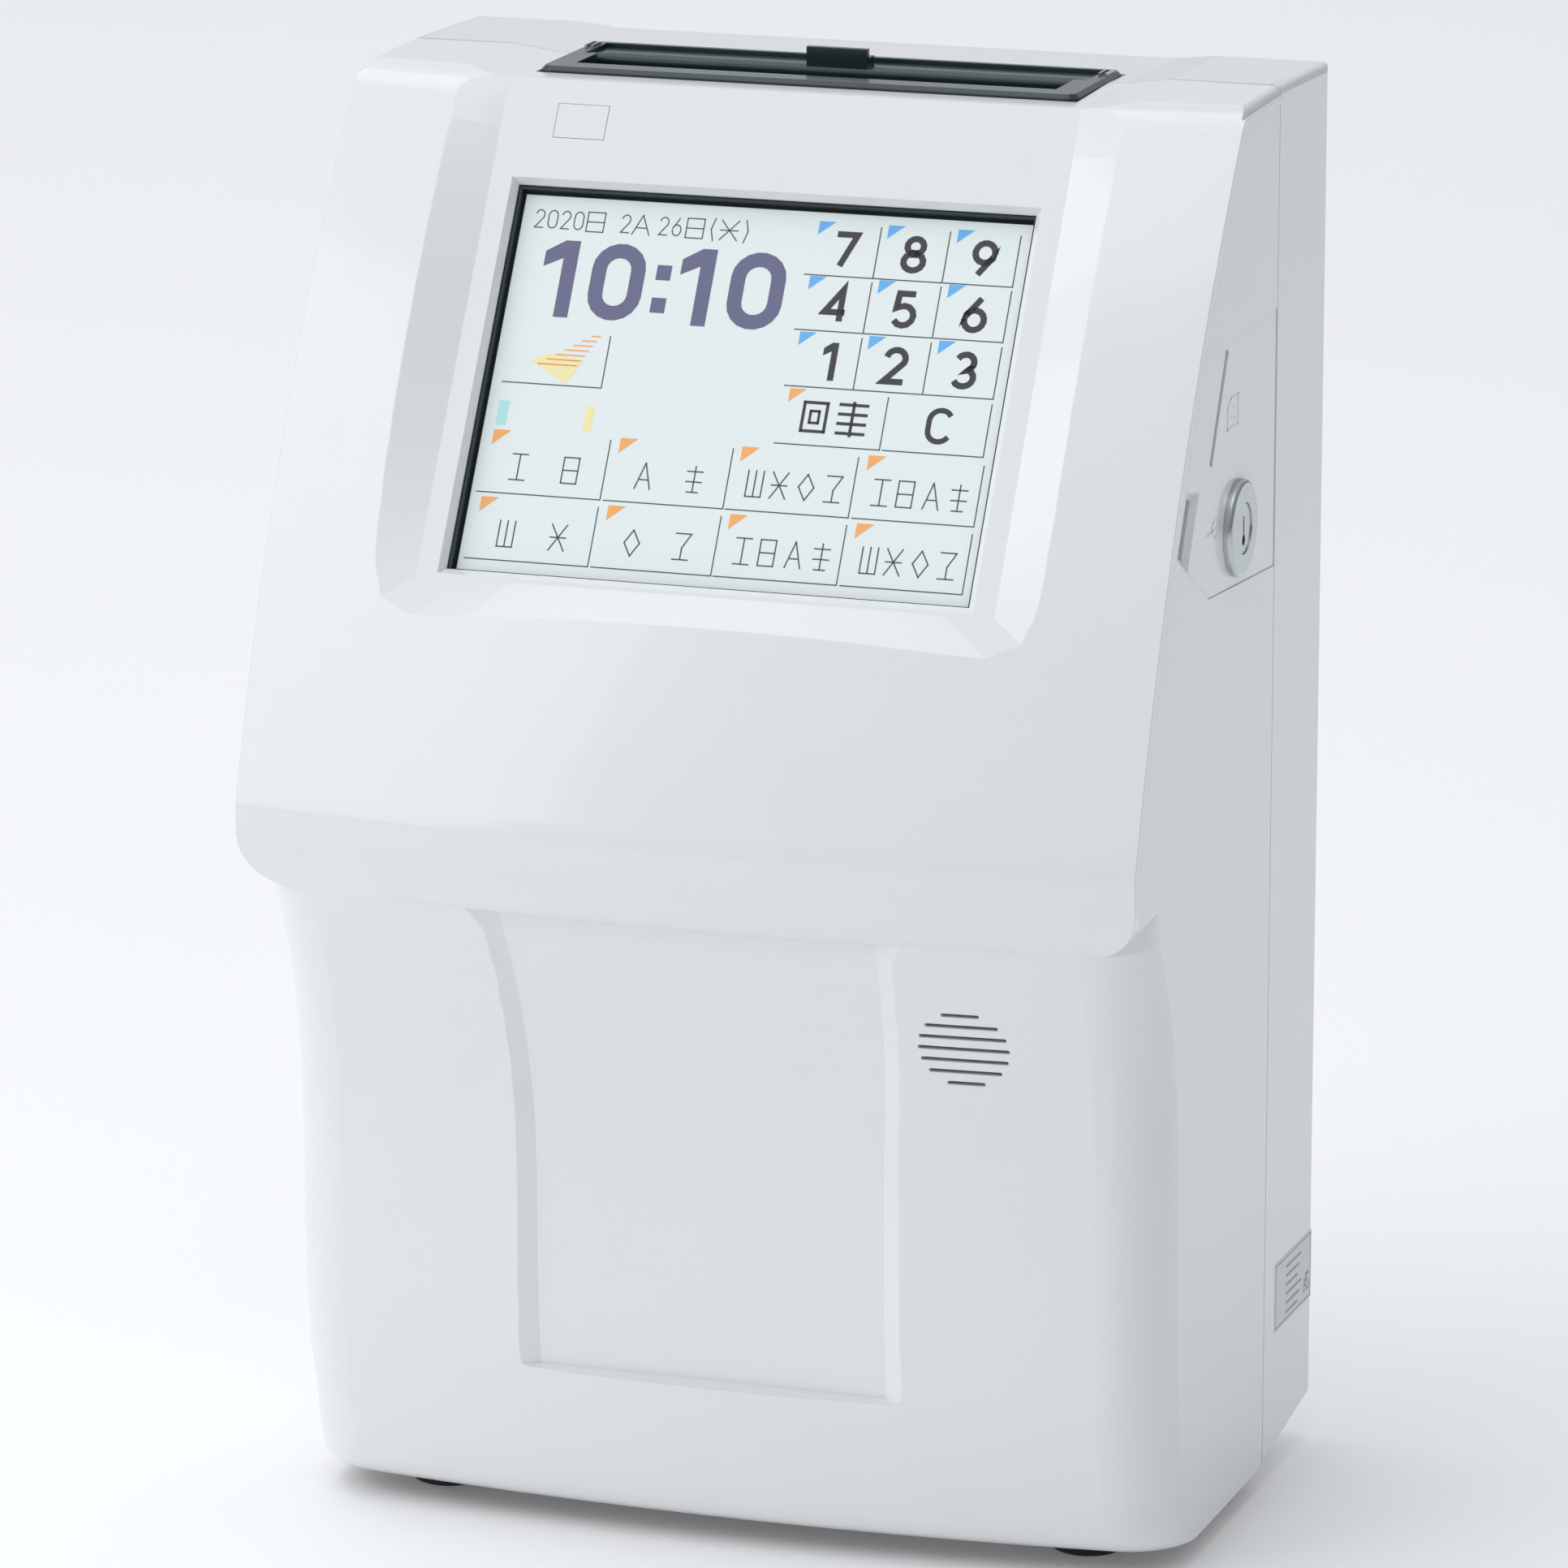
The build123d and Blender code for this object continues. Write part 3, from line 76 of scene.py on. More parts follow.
def on_screen(u, v, lift=INK_LIFT):
    """Point at fractions u across and v down the picture, off the glass by lift."""
    across = (u - 0.5) * ACTIVE_W
    up = (0.5 - v) * ACTIVE_H - PICTURE_DROP
    return GLASS_MIDDLE + Vector((across, 0, 0)) + SLOPE_UP * up + SLOPE_OUT * lift


# ------------------------------------------------------------------ materials

WIDE_GRAIN = 12                 # colour varies over patches this many times the fine grain
COAT_ROUGHNESS = 0.04
BEVEL_SAMPLES = 6
LCD_PITCH = 900                 # scale of the display's column pattern
LCD_DIM = 0.95                  # darker columns of that pattern, against the colour itself
LCD_ROUGHNESS = 0.35
LCD_WHITE = (0.735, 0.80, 0.80)
LCD_GLOW = 0.12                 # emission of lit colours
INK_GLOW = 0.1                  # emission of the dark inks
GLASS_ALPHA = 0.12
GLASS_IOR = 1.45


def new_material(name):
    material = bpy.data.materials.new(name)
    material.use_nodes = True
    tree = material.node_tree
    shader = tree.nodes["Principled BSDF"]
    return material, tree, shader


def add_noise(tree, scale, detail=3.0):
    coords = tree.nodes.new("ShaderNodeTexCoord")
    noise = tree.nodes.new("ShaderNodeTexNoise")
    noise.inputs["Scale"].default_value = scale
    noise.inputs["Detail"].default_value = detail
    tree.links.new(coords.outputs["Object"], noise.inputs["Vector"])
    return noise


def vary(tree, noise, low, high, socket):
    """Runs a noise between two values into a shader socket."""
    spread = tree.nodes.new("ShaderNodeMapRange")
    spread.inputs["To Min"].default_value = low
    spread.inputs["To Max"].default_value = high
    tree.links.new(noise.outputs["Fac"], spread.inputs["Value"])
    tree.links.new(spread.outputs["Result"], socket)


def vary_colour(tree, shader, noise, dark, light):
    mix = tree.nodes.new("ShaderNodeMix")
    mix.data_type = "RGBA"
    mix.inputs["A"].default_value = (*dark, 1)
    mix.inputs["B"].default_value = (*light, 1)
    tree.links.new(noise.outputs["Fac"], mix.inputs["Factor"])
    tree.links.new(mix.outputs["Result"], shader.inputs["Base Color"])


def add_bump(tree, shader, noise, distance, edge=0.0):
    """Fine surface texture, with softly rounded edges where edge is a radius."""
    bump = tree.nodes.new("ShaderNodeBump")
    bump.inputs["Strength"].default_value = 1.0
    bump.inputs["Distance"].default_value = distance
    tree.links.new(noise.outputs["Fac"], bump.inputs["Height"])
    if edge:
        bevel = tree.nodes.new("ShaderNodeBevel")
        bevel.samples = BEVEL_SAMPLES
        bevel.inputs["Radius"].default_value = edge
        tree.links.new(bevel.outputs["Normal"], bump.inputs["Normal"])
    tree.links.new(bump.outputs["Normal"], shader.inputs["Normal"])


def surface(name, dark, light, rough, metal=0.0, grain=900.0, bump=2e-5, coat=0.0, edge=0.0):
    """A finish with colour and roughness that vary a little and a fine grain."""
    material, tree, shader = new_material(name)
    wide = add_noise(tree, grain / WIDE_GRAIN)
    fine = add_noise(tree, grain, detail=5.0)
    vary_colour(tree, shader, wide, dark, light)
    vary(tree, fine, rough[0], rough[1], shader.inputs["Roughness"])
    shader.inputs["Metallic"].default_value = metal
    shader.inputs["Coat Weight"].default_value = coat
    shader.inputs["Coat Roughness"].default_value = COAT_ROUGHNESS
    add_bump(tree, shader, fine, bump, edge)
    return material


def shell_material(name, edge):
    """Glossy white plastic; edge is the radius its corners are softened to."""
    return surface(
        name, (0.80, 0.812, 0.835), (0.82, 0.83, 0.85), (0.17, 0.22),
        grain=700, bump=3e-6, coat=0.35, edge=edge,
    )


def glow(name, colour, strength):
    """A lit screen colour with the faint column pattern of a liquid crystal display."""
    material, tree, shader = new_material(name)
    coords = tree.nodes.new("ShaderNodeTexCoord")
    wave = tree.nodes.new("ShaderNodeTexWave")
    wave.inputs["Scale"].default_value = LCD_PITCH
    wave.bands_direction = "X"
    tree.links.new(coords.outputs["Object"], wave.inputs["Vector"])
    mix = tree.nodes.new("ShaderNodeMix")
    mix.data_type = "RGBA"
    mix.inputs["A"].default_value = (*[part * LCD_DIM for part in colour], 1)
    mix.inputs["B"].default_value = (*colour, 1)
    tree.links.new(wave.outputs["Fac"], mix.inputs["Factor"])
    tree.links.new(mix.outputs["Result"], shader.inputs["Base Color"])
    tree.links.new(mix.outputs["Result"], shader.inputs["Emission Color"])
    shader.inputs["Emission Strength"].default_value = strength
    shader.inputs["Roughness"].default_value = LCD_ROUGHNESS
    return material


def glass_material():
    material, tree, shader = new_material("touch_glass")
    smears = add_noise(tree, 220)
    vary(tree, smears, 0.03, 0.09, shader.inputs["Roughness"])
    vary_colour(tree, shader, smears, (0.80, 0.86, 0.86), (0.84, 0.9, 0.9))
    shader.inputs["Alpha"].default_value = GLASS_ALPHA
    shader.inputs["IOR"].default_value = GLASS_IOR
    material.surface_render_method = "BLENDED"
    return material


# One finish for each material slot, as surface(name, dark, light, roughness, ...).
# port_shell is white_shell with sharper corners, for the small port panel.
FINISHES = {
    "white_shell": shell_material("white_shell", 0.4 * MM),
    "port_shell": shell_material("port_shell", 0.12 * MM),
    "dark_trim": surface("dark_trim", (0.014, 0.032, 0.036), (0.020, 0.041, 0.046), (0.16, 0.24),
                         grain=1500, bump=5e-6, edge=0.35 * MM),
    "foot_rubber": surface("foot_rubber", (0.012, 0.012, 0.013), (0.022, 0.022, 0.024), (0.6, 0.8),
                           bump=4e-5),
    "badge": surface("badge", (0.79, 0.80, 0.825), (0.81, 0.82, 0.84), (0.20, 0.26),
                     bump=3e-6, edge=0.2 * MM),
    "label": surface("label", (0.70, 0.72, 0.75), (0.74, 0.76, 0.785), (0.35, 0.45), bump=4e-6),
    "touch_glass": glass_material(),
    "lcd": glow("lcd", LCD_WHITE, LCD_GLOW),
    "steel_sheet": surface("steel_sheet", (0.42, 0.43, 0.45), (0.55, 0.56, 0.57), (0.28, 0.42),
                           metal=1.0, grain=260, bump=1e-5),
    "steel_bright": surface("steel_bright", (0.58, 0.58, 0.59), (0.66, 0.66, 0.67), (0.18, 0.28),
                            metal=1.0, bump=6e-6),
    "board": surface("board", (0.010, 0.075, 0.030), (0.014, 0.10, 0.040), (0.25, 0.35), grain=500),
    "black_parts": surface("black_parts", (0.012, 0.012, 0.014), (0.022, 0.022, 0.025), (0.4, 0.55),
                           bump=3e-5),
    "socket_metal": surface("socket_metal", (0.55, 0.56, 0.57), (0.63, 0.64, 0.65), (0.22, 0.32),
                            metal=1.0),
    "paper_cone": surface("paper_cone", (0.018, 0.018, 0.020), (0.03, 0.03, 0.033), (0.75, 0.9),
                          bump=8e-5),
    "magnet": surface("magnet", (0.04, 0.04, 0.042), (0.07, 0.07, 0.072), (0.5, 0.7), bump=5e-5),
    "lock_chrome": surface("lock_chrome", (0.50, 0.545, 0.565), (0.56, 0.60, 0.615), (0.22, 0.30),
                           metal=1.0, grain=1400, bump=4e-6, edge=0.3 * MM),
    "bush_brass": surface("bush_brass", (0.42, 0.27, 0.10), (0.55, 0.38, 0.16), (0.3, 0.45), metal=1.0),
    "guide_plastic": surface("guide_plastic", (0.016, 0.016, 0.018), (0.026, 0.026, 0.028), (0.4, 0.5),
                             bump=2e-5),
    "roller_rubber": surface("roller_rubber", (0.016, 0.016, 0.018), (0.03, 0.03, 0.033), (0.7, 0.85),
                             bump=6e-5),
    "pulley_white": surface("pulley_white", (0.66, 0.66, 0.63), (0.74, 0.74, 0.71), (0.35, 0.45)),
    "belt_rubber": surface("belt_rubber", (0.008, 0.008, 0.009), (0.016, 0.016, 0.018), (0.65, 0.8),
                           bump=5e-5),
    "motor_can": surface("motor_can", (0.32, 0.33, 0.34), (0.44, 0.45, 0.46), (0.3, 0.42),
                         metal=1.0, grain=400),
}


def dress_nodes():
    """Gives every CAD node the finish of its material slot."""
    slots = {row["node"]: row["material_slot"] for row in frame["record"]["subparts"]}
    for name, node in frame["nodes"].items():
        node.data.materials.clear()
        finish = "port_shell" if name == "side_port_panel" else slots[name]
        node.data.materials.append(FINISHES[finish])


# ------------------------------------------------------------------ drawing helpers


def add_mesh(name, corners, faces, material, body):
    """A new piece that moves with a body."""
    mesh = bpy.data.meshes.new(name)
    mesh.from_pydata([tuple(corner) for corner in corners], [], faces)
    mesh.materials.append(material)
    piece = bpy.data.objects.new(name, mesh)
    bpy.context.scene.collection.objects.link(piece)
    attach(piece, body)
    return piece


def add_prisms(name, shapes, depth, out, material, body):
    """Thin slabs from flat outlines, all in one piece with outward faces."""
    corners = []
    faces = []
    for shape in shapes:
        first = len(corners)
        count = len(shape)
        corners += [point + out * depth for point in shape] + list(shape)
        faces.append(list(range(first, first + count)))
        faces.append(list(range(first + 2 * count - 1, first + count - 1, -1)))
        for i in range(count):
            j = (i + 1) % count
            faces.append([first + i, first + count + i, first + count + j, first + j])
    piece = add_mesh(name, corners, faces, material, body)
    shell = bmesh.new()
    shell.from_mesh(piece.data)
    bmesh.ops.recalc_face_normals(shell, faces=shell.faces)
    shell.to_mesh(piece.data)
    shell.free()


def screen_box(u0, u1, v0, v1, lift=INK_LIFT):
    return [on_screen(u, v, lift) for u, v in ((u0, v1), (u1, v1), (u1, v0), (u0, v0))]


def bar_outline(start, end, width, out):
    """Outline of a straight bar with square ends, half a width longer at each end."""
    along = (end - start).normalized()
    side = along.cross(out).normalized() * width / 2
    grow = along * width / 2
    return [start - grow - side, end + grow - side, end + grow + side, start - grow + side]


def stroke(points, width):
    """Flat bars that follow a line of (u, v) points with the given width in metres."""
    spots = [on_screen(u, v) for u, v in points]
    return [bar_outline(start, end, width, SLOPE_OUT) for start, end in zip(spots, spots[1:])]


def screen_marks(name, shapes, material):
    add_prisms(name, shapes, INK_T, SLOPE_OUT, material, "cover")


MITRE_LEAST = 0.3               # keeps a mitre at a sharp bend from growing too long


def ribbon(points, width, closed=False):
    """Quads that follow a bent line of (u, v) points at one width, mitred at the bends."""
    spots = [on_screen(u, v) for u, v in points]
    count = len(spots)
    edges = []
    for i, spot in enumerate(spots):
        before = spots[i - 1] if i or closed else None
        after = spots[(i + 1) % count] if i < count - 1 or closed else None
        ways = []
        if before is not None:
            ways.append((spot - before).normalized())
        if after is not None:
            ways.append((after - spot).normalized())
        normals = [way.cross(SLOPE_OUT).normalized() for way in ways]
        middle = sum(normals, Vector()).normalized()
        reach = width / 2 / max(middle.dot(normals[0]), MITRE_LEAST)
        edges.append((spot - middle * reach, spot + middle * reach))
    shapes = []
    for i in range(count if closed else count - 1):
        (near_left, near_right), (far_left, far_right) = edges[i], edges[(i + 1) % count]
        shapes.append([near_left, far_left, far_right, near_right])
    return shapes


def arc(middle_u, middle_v, radius_u, radius_v, start, end, steps=9):
    """(u, v) points on an ellipse; angles in degrees, clockwise from the right."""
    points = []
    for step in range(steps + 1):
        angle = math.radians(start + (end - start) * step / steps)
        points.append((middle_u + radius_u * math.cos(angle), middle_v + radius_v * math.sin(angle)))
    return points


# Digits as lines in a box one wide and one high; v runs down.
DIGIT_LINES = {
    "0": (True, arc(0.5, 0.30, 0.5, 0.30, 180, 360) + arc(0.5, 0.70, 0.5, 0.30, 0, 180)),
    "2": (False, arc(0.5, 0.28, 0.46, 0.28, 190, 385) + [(0.04, 1.0), (1.0, 1.0)]),
    "3": (False, arc(0.46, 0.25, 0.42, 0.25, 205, 430) + arc(0.46, 0.73, 0.48, 0.27, 290, 515)),
    "4": (False, [(0.78, 1.0), (0.78, 0.0), (0.0, 0.72), (1.0, 0.72)]),
    "5": (False, [(0.92, 0.0), (0.14, 0.0), (0.08, 0.46)] + arc(0.47, 0.69, 0.49, 0.31, 240, 510)),
    "6": (False, [(0.72, 0.0), (0.10, 0.55)] + arc(0.5, 0.69, 0.48, 0.31, 190, 545, 16)),
    "7": (False, [(0.0, 0.0), (1.0, 0.0), (0.34, 1.0)]),
    "8": (True, arc(0.5, 0.245, 0.40, 0.245, 90, 450, 14) + arc(0.5, 0.73, 0.48, 0.27, 270, 630, 14)),
    "9": (False, [(0.28, 1.0), (0.90, 0.45)] + arc(0.5, 0.31, 0.48, 0.31, 10, 365, 16)),
    "C": (False, arc(0.54, 0.34, 0.50, 0.34, 330, 180) + arc(0.54, 0.66, 0.50, 0.34, 180, 30)),
}


ONE_INSET = 0.1                 # right margin of the figure one, as a share of its box
FLAG_REACH = 2.3                # from the bar's right side to the flag's tip, in line widths
FLAG_TIP = (0.15, 0.35)         # top and bottom of the flag at its tip, down the figure
FLAG_ROOT = 0.23                # bottom of the flag where it meets the bar


def one_shapes(u0, u1, v0, v1, width):
    """The figure one: an upright bar with a slanting flag cut off upright at its tip."""
    right = u1 - ONE_INSET * (u1 - u0)
    left = right - width / ACTIVE_W
    tip = right - FLAG_REACH * width / ACTIVE_W
    tall = v1 - v0
    tip_top, tip_bottom = (v0 + share * tall for share in FLAG_TIP)
    bar = [(left, v1), (right, v1), (right, v0), (left, v0)]
    flag = [(tip, tip_bottom), (left, v0 + FLAG_ROOT * tall), (left, v0), (tip, tip_top)]
    return [[on_screen(u, v) for u, v in shape] for shape in (bar, flag)]


def digit_shapes(digit, u0, u1, v0, v1, width):
    """Outlines of one digit that fills the box u0..u1, v0..v1 with a line of this width."""
    if digit == "1":
        return one_shapes(u0, u1, v0, v1, width)
    closed, line = DIGIT_LINES[digit]
    du = width / 2 / ACTIVE_W
    dv = width / 2 / ACTIVE_H
    wide = u1 - u0 - 2 * du
    tall = v1 - v0 - 2 * dv
    points = [(u0 + du + wide * x, v0 + dv + tall * y) for x, y in line]
    return ribbon(points, width, closed)


# ------------------------------------------------------------------ screen picture

DARK_INK = glow("ink_dark", (0.036, 0.036, 0.042), INK_GLOW)
TIME_INK = glow("ink_time", (0.125, 0.130, 0.235), INK_GLOW)
LINE_INK = glow("ink_line", (0.070, 0.080, 0.082), INK_GLOW)
BLUE_INK = glow("ink_blue", (0.12, 0.42, 0.82), LCD_GLOW)
ORANGE_INK = glow("ink_orange", (0.86, 0.40, 0.12), LCD_GLOW)
CYAN_INK = glow("ink_cyan", (0.42, 0.74, 0.78), LCD_GLOW)
YELLOW_INK = glow("ink_yellow", (0.86, 0.76, 0.40), LCD_GLOW)
GROUND_WHITE = glow("screen_ground", LCD_WHITE, LCD_GLOW)

# The screen's layout, in fractions across (u) and down (v) the picture.
KEY_COLUMNS = ((0.574, 0.708), (0.710, 0.843), (0.846, 0.980))
KEY_ROWS = ((0.022, 0.165), (0.168, 0.311), (0.316, 0.460))
WIDE_COLUMNS = ((0.574, 0.779), (0.785, 0.980))
WIDE_ROW = (0.466, 0.612)
FUNCTION_COLUMNS = ((0.010, 0.255), (0.262, 0.497), (0.502, 0.742), (0.749, 0.985))
FUNCTION_ROWS = ((0.627, 0.793), (0.805, 0.969))
LINE_INSET = 0.008              # gap between a key's top and the line on its right
CORNER_INSET = 0.012            # gap between a key's left edge and its corner mark
KEY_CORNER = (0.032, 0.036)     # width and height of a corner mark
FUNCTION_CORNER = (0.034, 0.040)
FUNCTION_GLYPH = (0.030, 0.034)             # width and half height of a pictogram
NARROW_PLACES = (0.30, 0.72)                # where pictograms stand across a key
WIDE_PLACES = (0.20, 0.40, 0.62, 0.84)
KEY_DIGITS = "789456123"
KEY_DIGIT_SHIFT = (0.004, 0.002)
KEY_DIGIT_HALF = (0.026, 0.050)
CLEAR_U = (0.858, 0.912)
CLEAR_HALF_V = 0.048
COUNT_FRAME = (0.62, 0.665, 0.50, 0.575)
COUNT_CORE = (0.634, 0.651, 0.522, 0.553)
COUNT_BARS_U = (0.69, 0.742)
COUNT_BARS_V = (0.50, 0.525, 0.55, 0.575)
COUNT_POST = ((0.716, 0.495), (0.716, 0.58))
GLYPH_SHIFT_V = 0.012
TIME_DIGITS = (("1", 0.052, 0.132), ("0", 0.156, 0.262), ("1", 0.325, 0.405), ("0", 0.432, 0.54))
TIME_V = (0.115, 0.32)
COLON_U = (0.284, 0.313)
COLON_V = (0.165, 0.252)
COLON_TALL = 0.040
DATE_DIGITS = (
    ("2", 0.024), ("0", 0.050), ("2", 0.076), ("0", 0.102), ("2", 0.196), ("2", 0.272), ("6", 0.298),
)
DATE_DIGIT_W = 0.020
DATE_V = (0.036, 0.086)
DATE_MARKS = ((0.146, 1), (0.238, 2), (0.344, 1), (0.412, 5))
DATE_MARK_V = 0.062
DATE_MARK_SIZE = (0.034, 0.026)
DATE_BRACKETS = ((0.382, -0.006), (0.443, 0.006))
BRACKET_V = (0.032, 0.062, 0.092)
SUN_KEY = ((0.02, 0.217), (0.355, 0.50))
SUN_RAYS = 7
SUN_FIRST_RAY = (0.180, 0.196, 0.365)       # left end, right end and height of the top ray
SUN_RAY_STEP = (-0.016, -0.006, 0.0135)     # how those change from one ray to the next
SUN_FAN = ((0.068, 0.440), (0.145, 0.495), (0.172, 0.430), (0.10, 0.418))
LEVEL_V = (0.55, 0.615)
CYAN_LEVEL_U = (0.022, 0.042)
YELLOW_LEVEL_U = (0.195, 0.212)

# Widths of the drawn lines.
HAIRLINE = 0.26 * MM
GLYPH_LINE = 0.30 * MM
RAY_LINE = 0.32 * MM
CORE_LINE = 0.6 * MM
COUNT_LINE = 0.7 * MM
CLEAR_LINE = 1.2 * MM
KEY_DIGIT_LINE = 1.4 * MM
TIME_LINE = 3.3 * MM


def screen_ground():
    """The lit background, a hair in front of the glass."""
    shape = screen_box(*LIT_U, *LIT_V, GROUND_LIFT)
    add_prisms("screen_ground", [shape], GROUND_T, SLOPE_OUT, GROUND_WHITE, "cover")


def screen_border():
    """Black printed border of the touch panel, round the lit area."""
    du = BORDER / ACTIVE_W
    dv = BORDER / ACTIVE_H
    parts = (
        (-du, LIT_U[0], -dv, 1 + dv),
        (LIT_U[1], 1 + du, -dv, 1 + dv),
        (*LIT_U, -dv, LIT_V[0]),
        (*LIT_U, LIT_V[1], 1 + dv),
    )
    shapes = [screen_box(*part, GROUND_LIFT) for part in parts]
    black = surface("border_black", (0.010, 0.013, 0.015), (0.014, 0.018, 0.020), (0.10, 0.16), bump=2e-6)
    add_prisms("screen_border", shapes, INK_T, SLOPE_OUT, black, "cover")


def key_lines(columns, rows):
    """Thin shadow lines to the right of and under each key."""
    shapes = []
    for u0, u1 in columns:
        for v0, v1 in rows:
            shapes += stroke([(u1, v0 + LINE_INSET), (u1, v1), (u0, v1)], HAIRLINE)
    return shapes


def corner_triangles(columns, rows, size):
    """A small coloured triangle in the top left corner of each key."""
    wide, tall = size
    shapes = []
    for u0, _ in columns:
        for v0, _ in rows:
            u = u0 + CORNER_INSET
            shapes.append([on_screen(u, v0 + tall), on_screen(u + wide, v0), on_screen(u, v0)])
    return shapes


# Pictograms of short lines, each in a box from -1 to 1 both ways; y runs down.
GLYPHS = (
    [[(-1, -1), (1, -1)], [(-1, 1), (1, 1)], [(0, -1), (0, 1)]],
    [[(-1, -1), (1, -1), (1, 1), (-1, 1), (-1, -1)], [(-1, 0), (1, 0)]],
    [[(-1, 1), (0, -1), (1, 1)], [(-0.5, 0.3), (0.5, 0.3)]],
    [[(-1, -0.6), (1, -0.6)], [(-1, 0.2), (1, 0.2)], [(0, -1), (0, 1)], [(-0.7, 1), (0.7, 1)]],
    [[(-1, -1), (-1, 1), (1, 1), (1, -1)], [(0, -1), (0, 1)]],
    [[(-1, -1), (1, 1)], [(1, -1), (-1, 1)], [(-1, 0), (1, 0)]],
    [[(-1, 0), (0, -1), (1, 0), (0, 1), (-1, 0)]],
    [[(-1, -1), (1, -1), (0, 0.1)], [(0, 0.1), (0, 1)], [(-1, 1), (1, 1)]],
)


def glyph_shapes(kind, u, v, size, width):
    """A generic pictogram of short strokes, in place of a word; size is its width and half height."""
    wide, half_tall = size
    shapes = []
    for line in GLYPHS[kind % len(GLYPHS)]:
        shapes += stroke([(u + wide / 2 * x, v + half_tall * y) for x, y in line], width)
    return shapes


def keypad():
    screen_marks("screen_key_lines", key_lines(KEY_COLUMNS, KEY_ROWS), LINE_INK)
    screen_marks("screen_key_corners", corner_triangles(KEY_COLUMNS, KEY_ROWS, KEY_CORNER), BLUE_INK)
    digits = iter(KEY_DIGITS)
    half_u, half_v = KEY_DIGIT_HALF
    shapes = []
    for v0, v1 in KEY_ROWS:
        for u0, u1 in KEY_COLUMNS:
            u = (u0 + u1) / 2 + KEY_DIGIT_SHIFT[0]
            v = (v0 + v1) / 2 + KEY_DIGIT_SHIFT[1]
            box = (u - half_u, u + half_u, v - half_v, v + half_v)
            shapes += digit_shapes(next(digits), *box, KEY_DIGIT_LINE)
    screen_marks("screen_key_digits", shapes, DARK_INK)


def outline(u0, u1, v0, v1, width):
    """An empty rectangle drawn with a line of this width."""
    return stroke([(u0, v0), (u1, v0), (u1, v1), (u0, v1), (u0, v0)], width)


def wide_keys():
    """The count key, with a pictogram, and the clear key beside it."""
    screen_marks("screen_wide_lines", key_lines(WIDE_COLUMNS, (WIDE_ROW,)), LINE_INK)
    corner = corner_triangles(WIDE_COLUMNS[:1], (WIDE_ROW,), KEY_CORNER)
    screen_marks("screen_wide_corner", corner, ORANGE_INK)
    middle = sum(WIDE_ROW) / 2
    shapes = digit_shapes("C", *CLEAR_U, middle - CLEAR_HALF_V, middle + CLEAR_HALF_V, CLEAR_LINE)
    shapes += outline(*COUNT_FRAME, COUNT_LINE)
    shapes += outline(*COUNT_CORE, CORE_LINE)
    for v in COUNT_BARS_V:
        shapes += stroke([(u, v) for u in COUNT_BARS_U], COUNT_LINE)
    shapes += stroke(COUNT_POST, COUNT_LINE)
    screen_marks("screen_count_mark", shapes, DARK_INK)


def function_keys():
    screen_marks("screen_function_lines", key_lines(FUNCTION_COLUMNS, FUNCTION_ROWS), LINE_INK)
    corners = corner_triangles(FUNCTION_COLUMNS, FUNCTION_ROWS, FUNCTION_CORNER)
    screen_marks("screen_function_corners", corners, ORANGE_INK)
    shapes = []
    kind = 0
    for v0, v1 in FUNCTION_ROWS:
        v = (v0 + v1) / 2 + GLYPH_SHIFT_V
        for column, (u0, u1) in enumerate(FUNCTION_COLUMNS):
            for place in NARROW_PLACES if column < 2 else WIDE_PLACES:
                u = u0 + (u1 - u0) * place
                shapes += glyph_shapes(kind, u, v, FUNCTION_GLYPH, GLYPH_LINE)
                kind += 1
    screen_marks("screen_function_marks", shapes, LINE_INK)


def clock_time():
    shapes = []
    for digit, u0, u1 in TIME_DIGITS:
        shapes += digit_shapes(digit, u0, u1, *TIME_V, TIME_LINE)
    for v in COLON_V:
        shapes.append(screen_box(*COLON_U, v, v + COLON_TALL))
    screen_marks("screen_time", shapes, TIME_INK)


def clock_date():
    """Digits with pictograms in place of the words between them."""
    shapes = []
    for digit, u in DATE_DIGITS:
        shapes += digit_shapes(digit, u, u + DATE_DIGIT_W, *DATE_V, HAIRLINE)
    for u, kind in DATE_MARKS:
        shapes += glyph_shapes(kind, u, DATE_MARK_V, DATE_MARK_SIZE, HAIRLINE)
    for u, bow in DATE_BRACKETS:
        top, middle, foot = BRACKET_V
        shapes += stroke([(u, top), (u + bow, middle), (u, foot)], HAIRLINE)
    screen_marks("screen_date", shapes, LINE_INK)


def sun_key():
    """The picture key: slanting rays over a plain fan."""
    columns, rows = SUN_KEY
    screen_marks("screen_sun_lines", key_lines((columns,), (rows,)), LINE_INK)
    rays = []
    for step in range(SUN_RAYS):
        u0, u1, v = (first + change * step for first, change in zip(SUN_FIRST_RAY, SUN_RAY_STEP))
        rays += stroke([(u0, v), (u1, v)], RAY_LINE)
    screen_marks("screen_sun_rays", rays, ORANGE_INK)
    screen_marks("screen_sun_fan", [[on_screen(u, v) for u, v in SUN_FAN]], YELLOW_INK)


def level_bars():
    screen_marks("screen_bar_cyan", [screen_box(*CYAN_LEVEL_U, *LEVEL_V)], CYAN_INK)
    screen_marks("screen_bar_yellow", [screen_box(*YELLOW_LEVEL_U, *LEVEL_V)], YELLOW_INK)


# ------------------------------------------------------------------ marks on the case


RIGHTWARDS = Vector((1, 0, 0))
LABEL_INK_T = 0.02 * MM

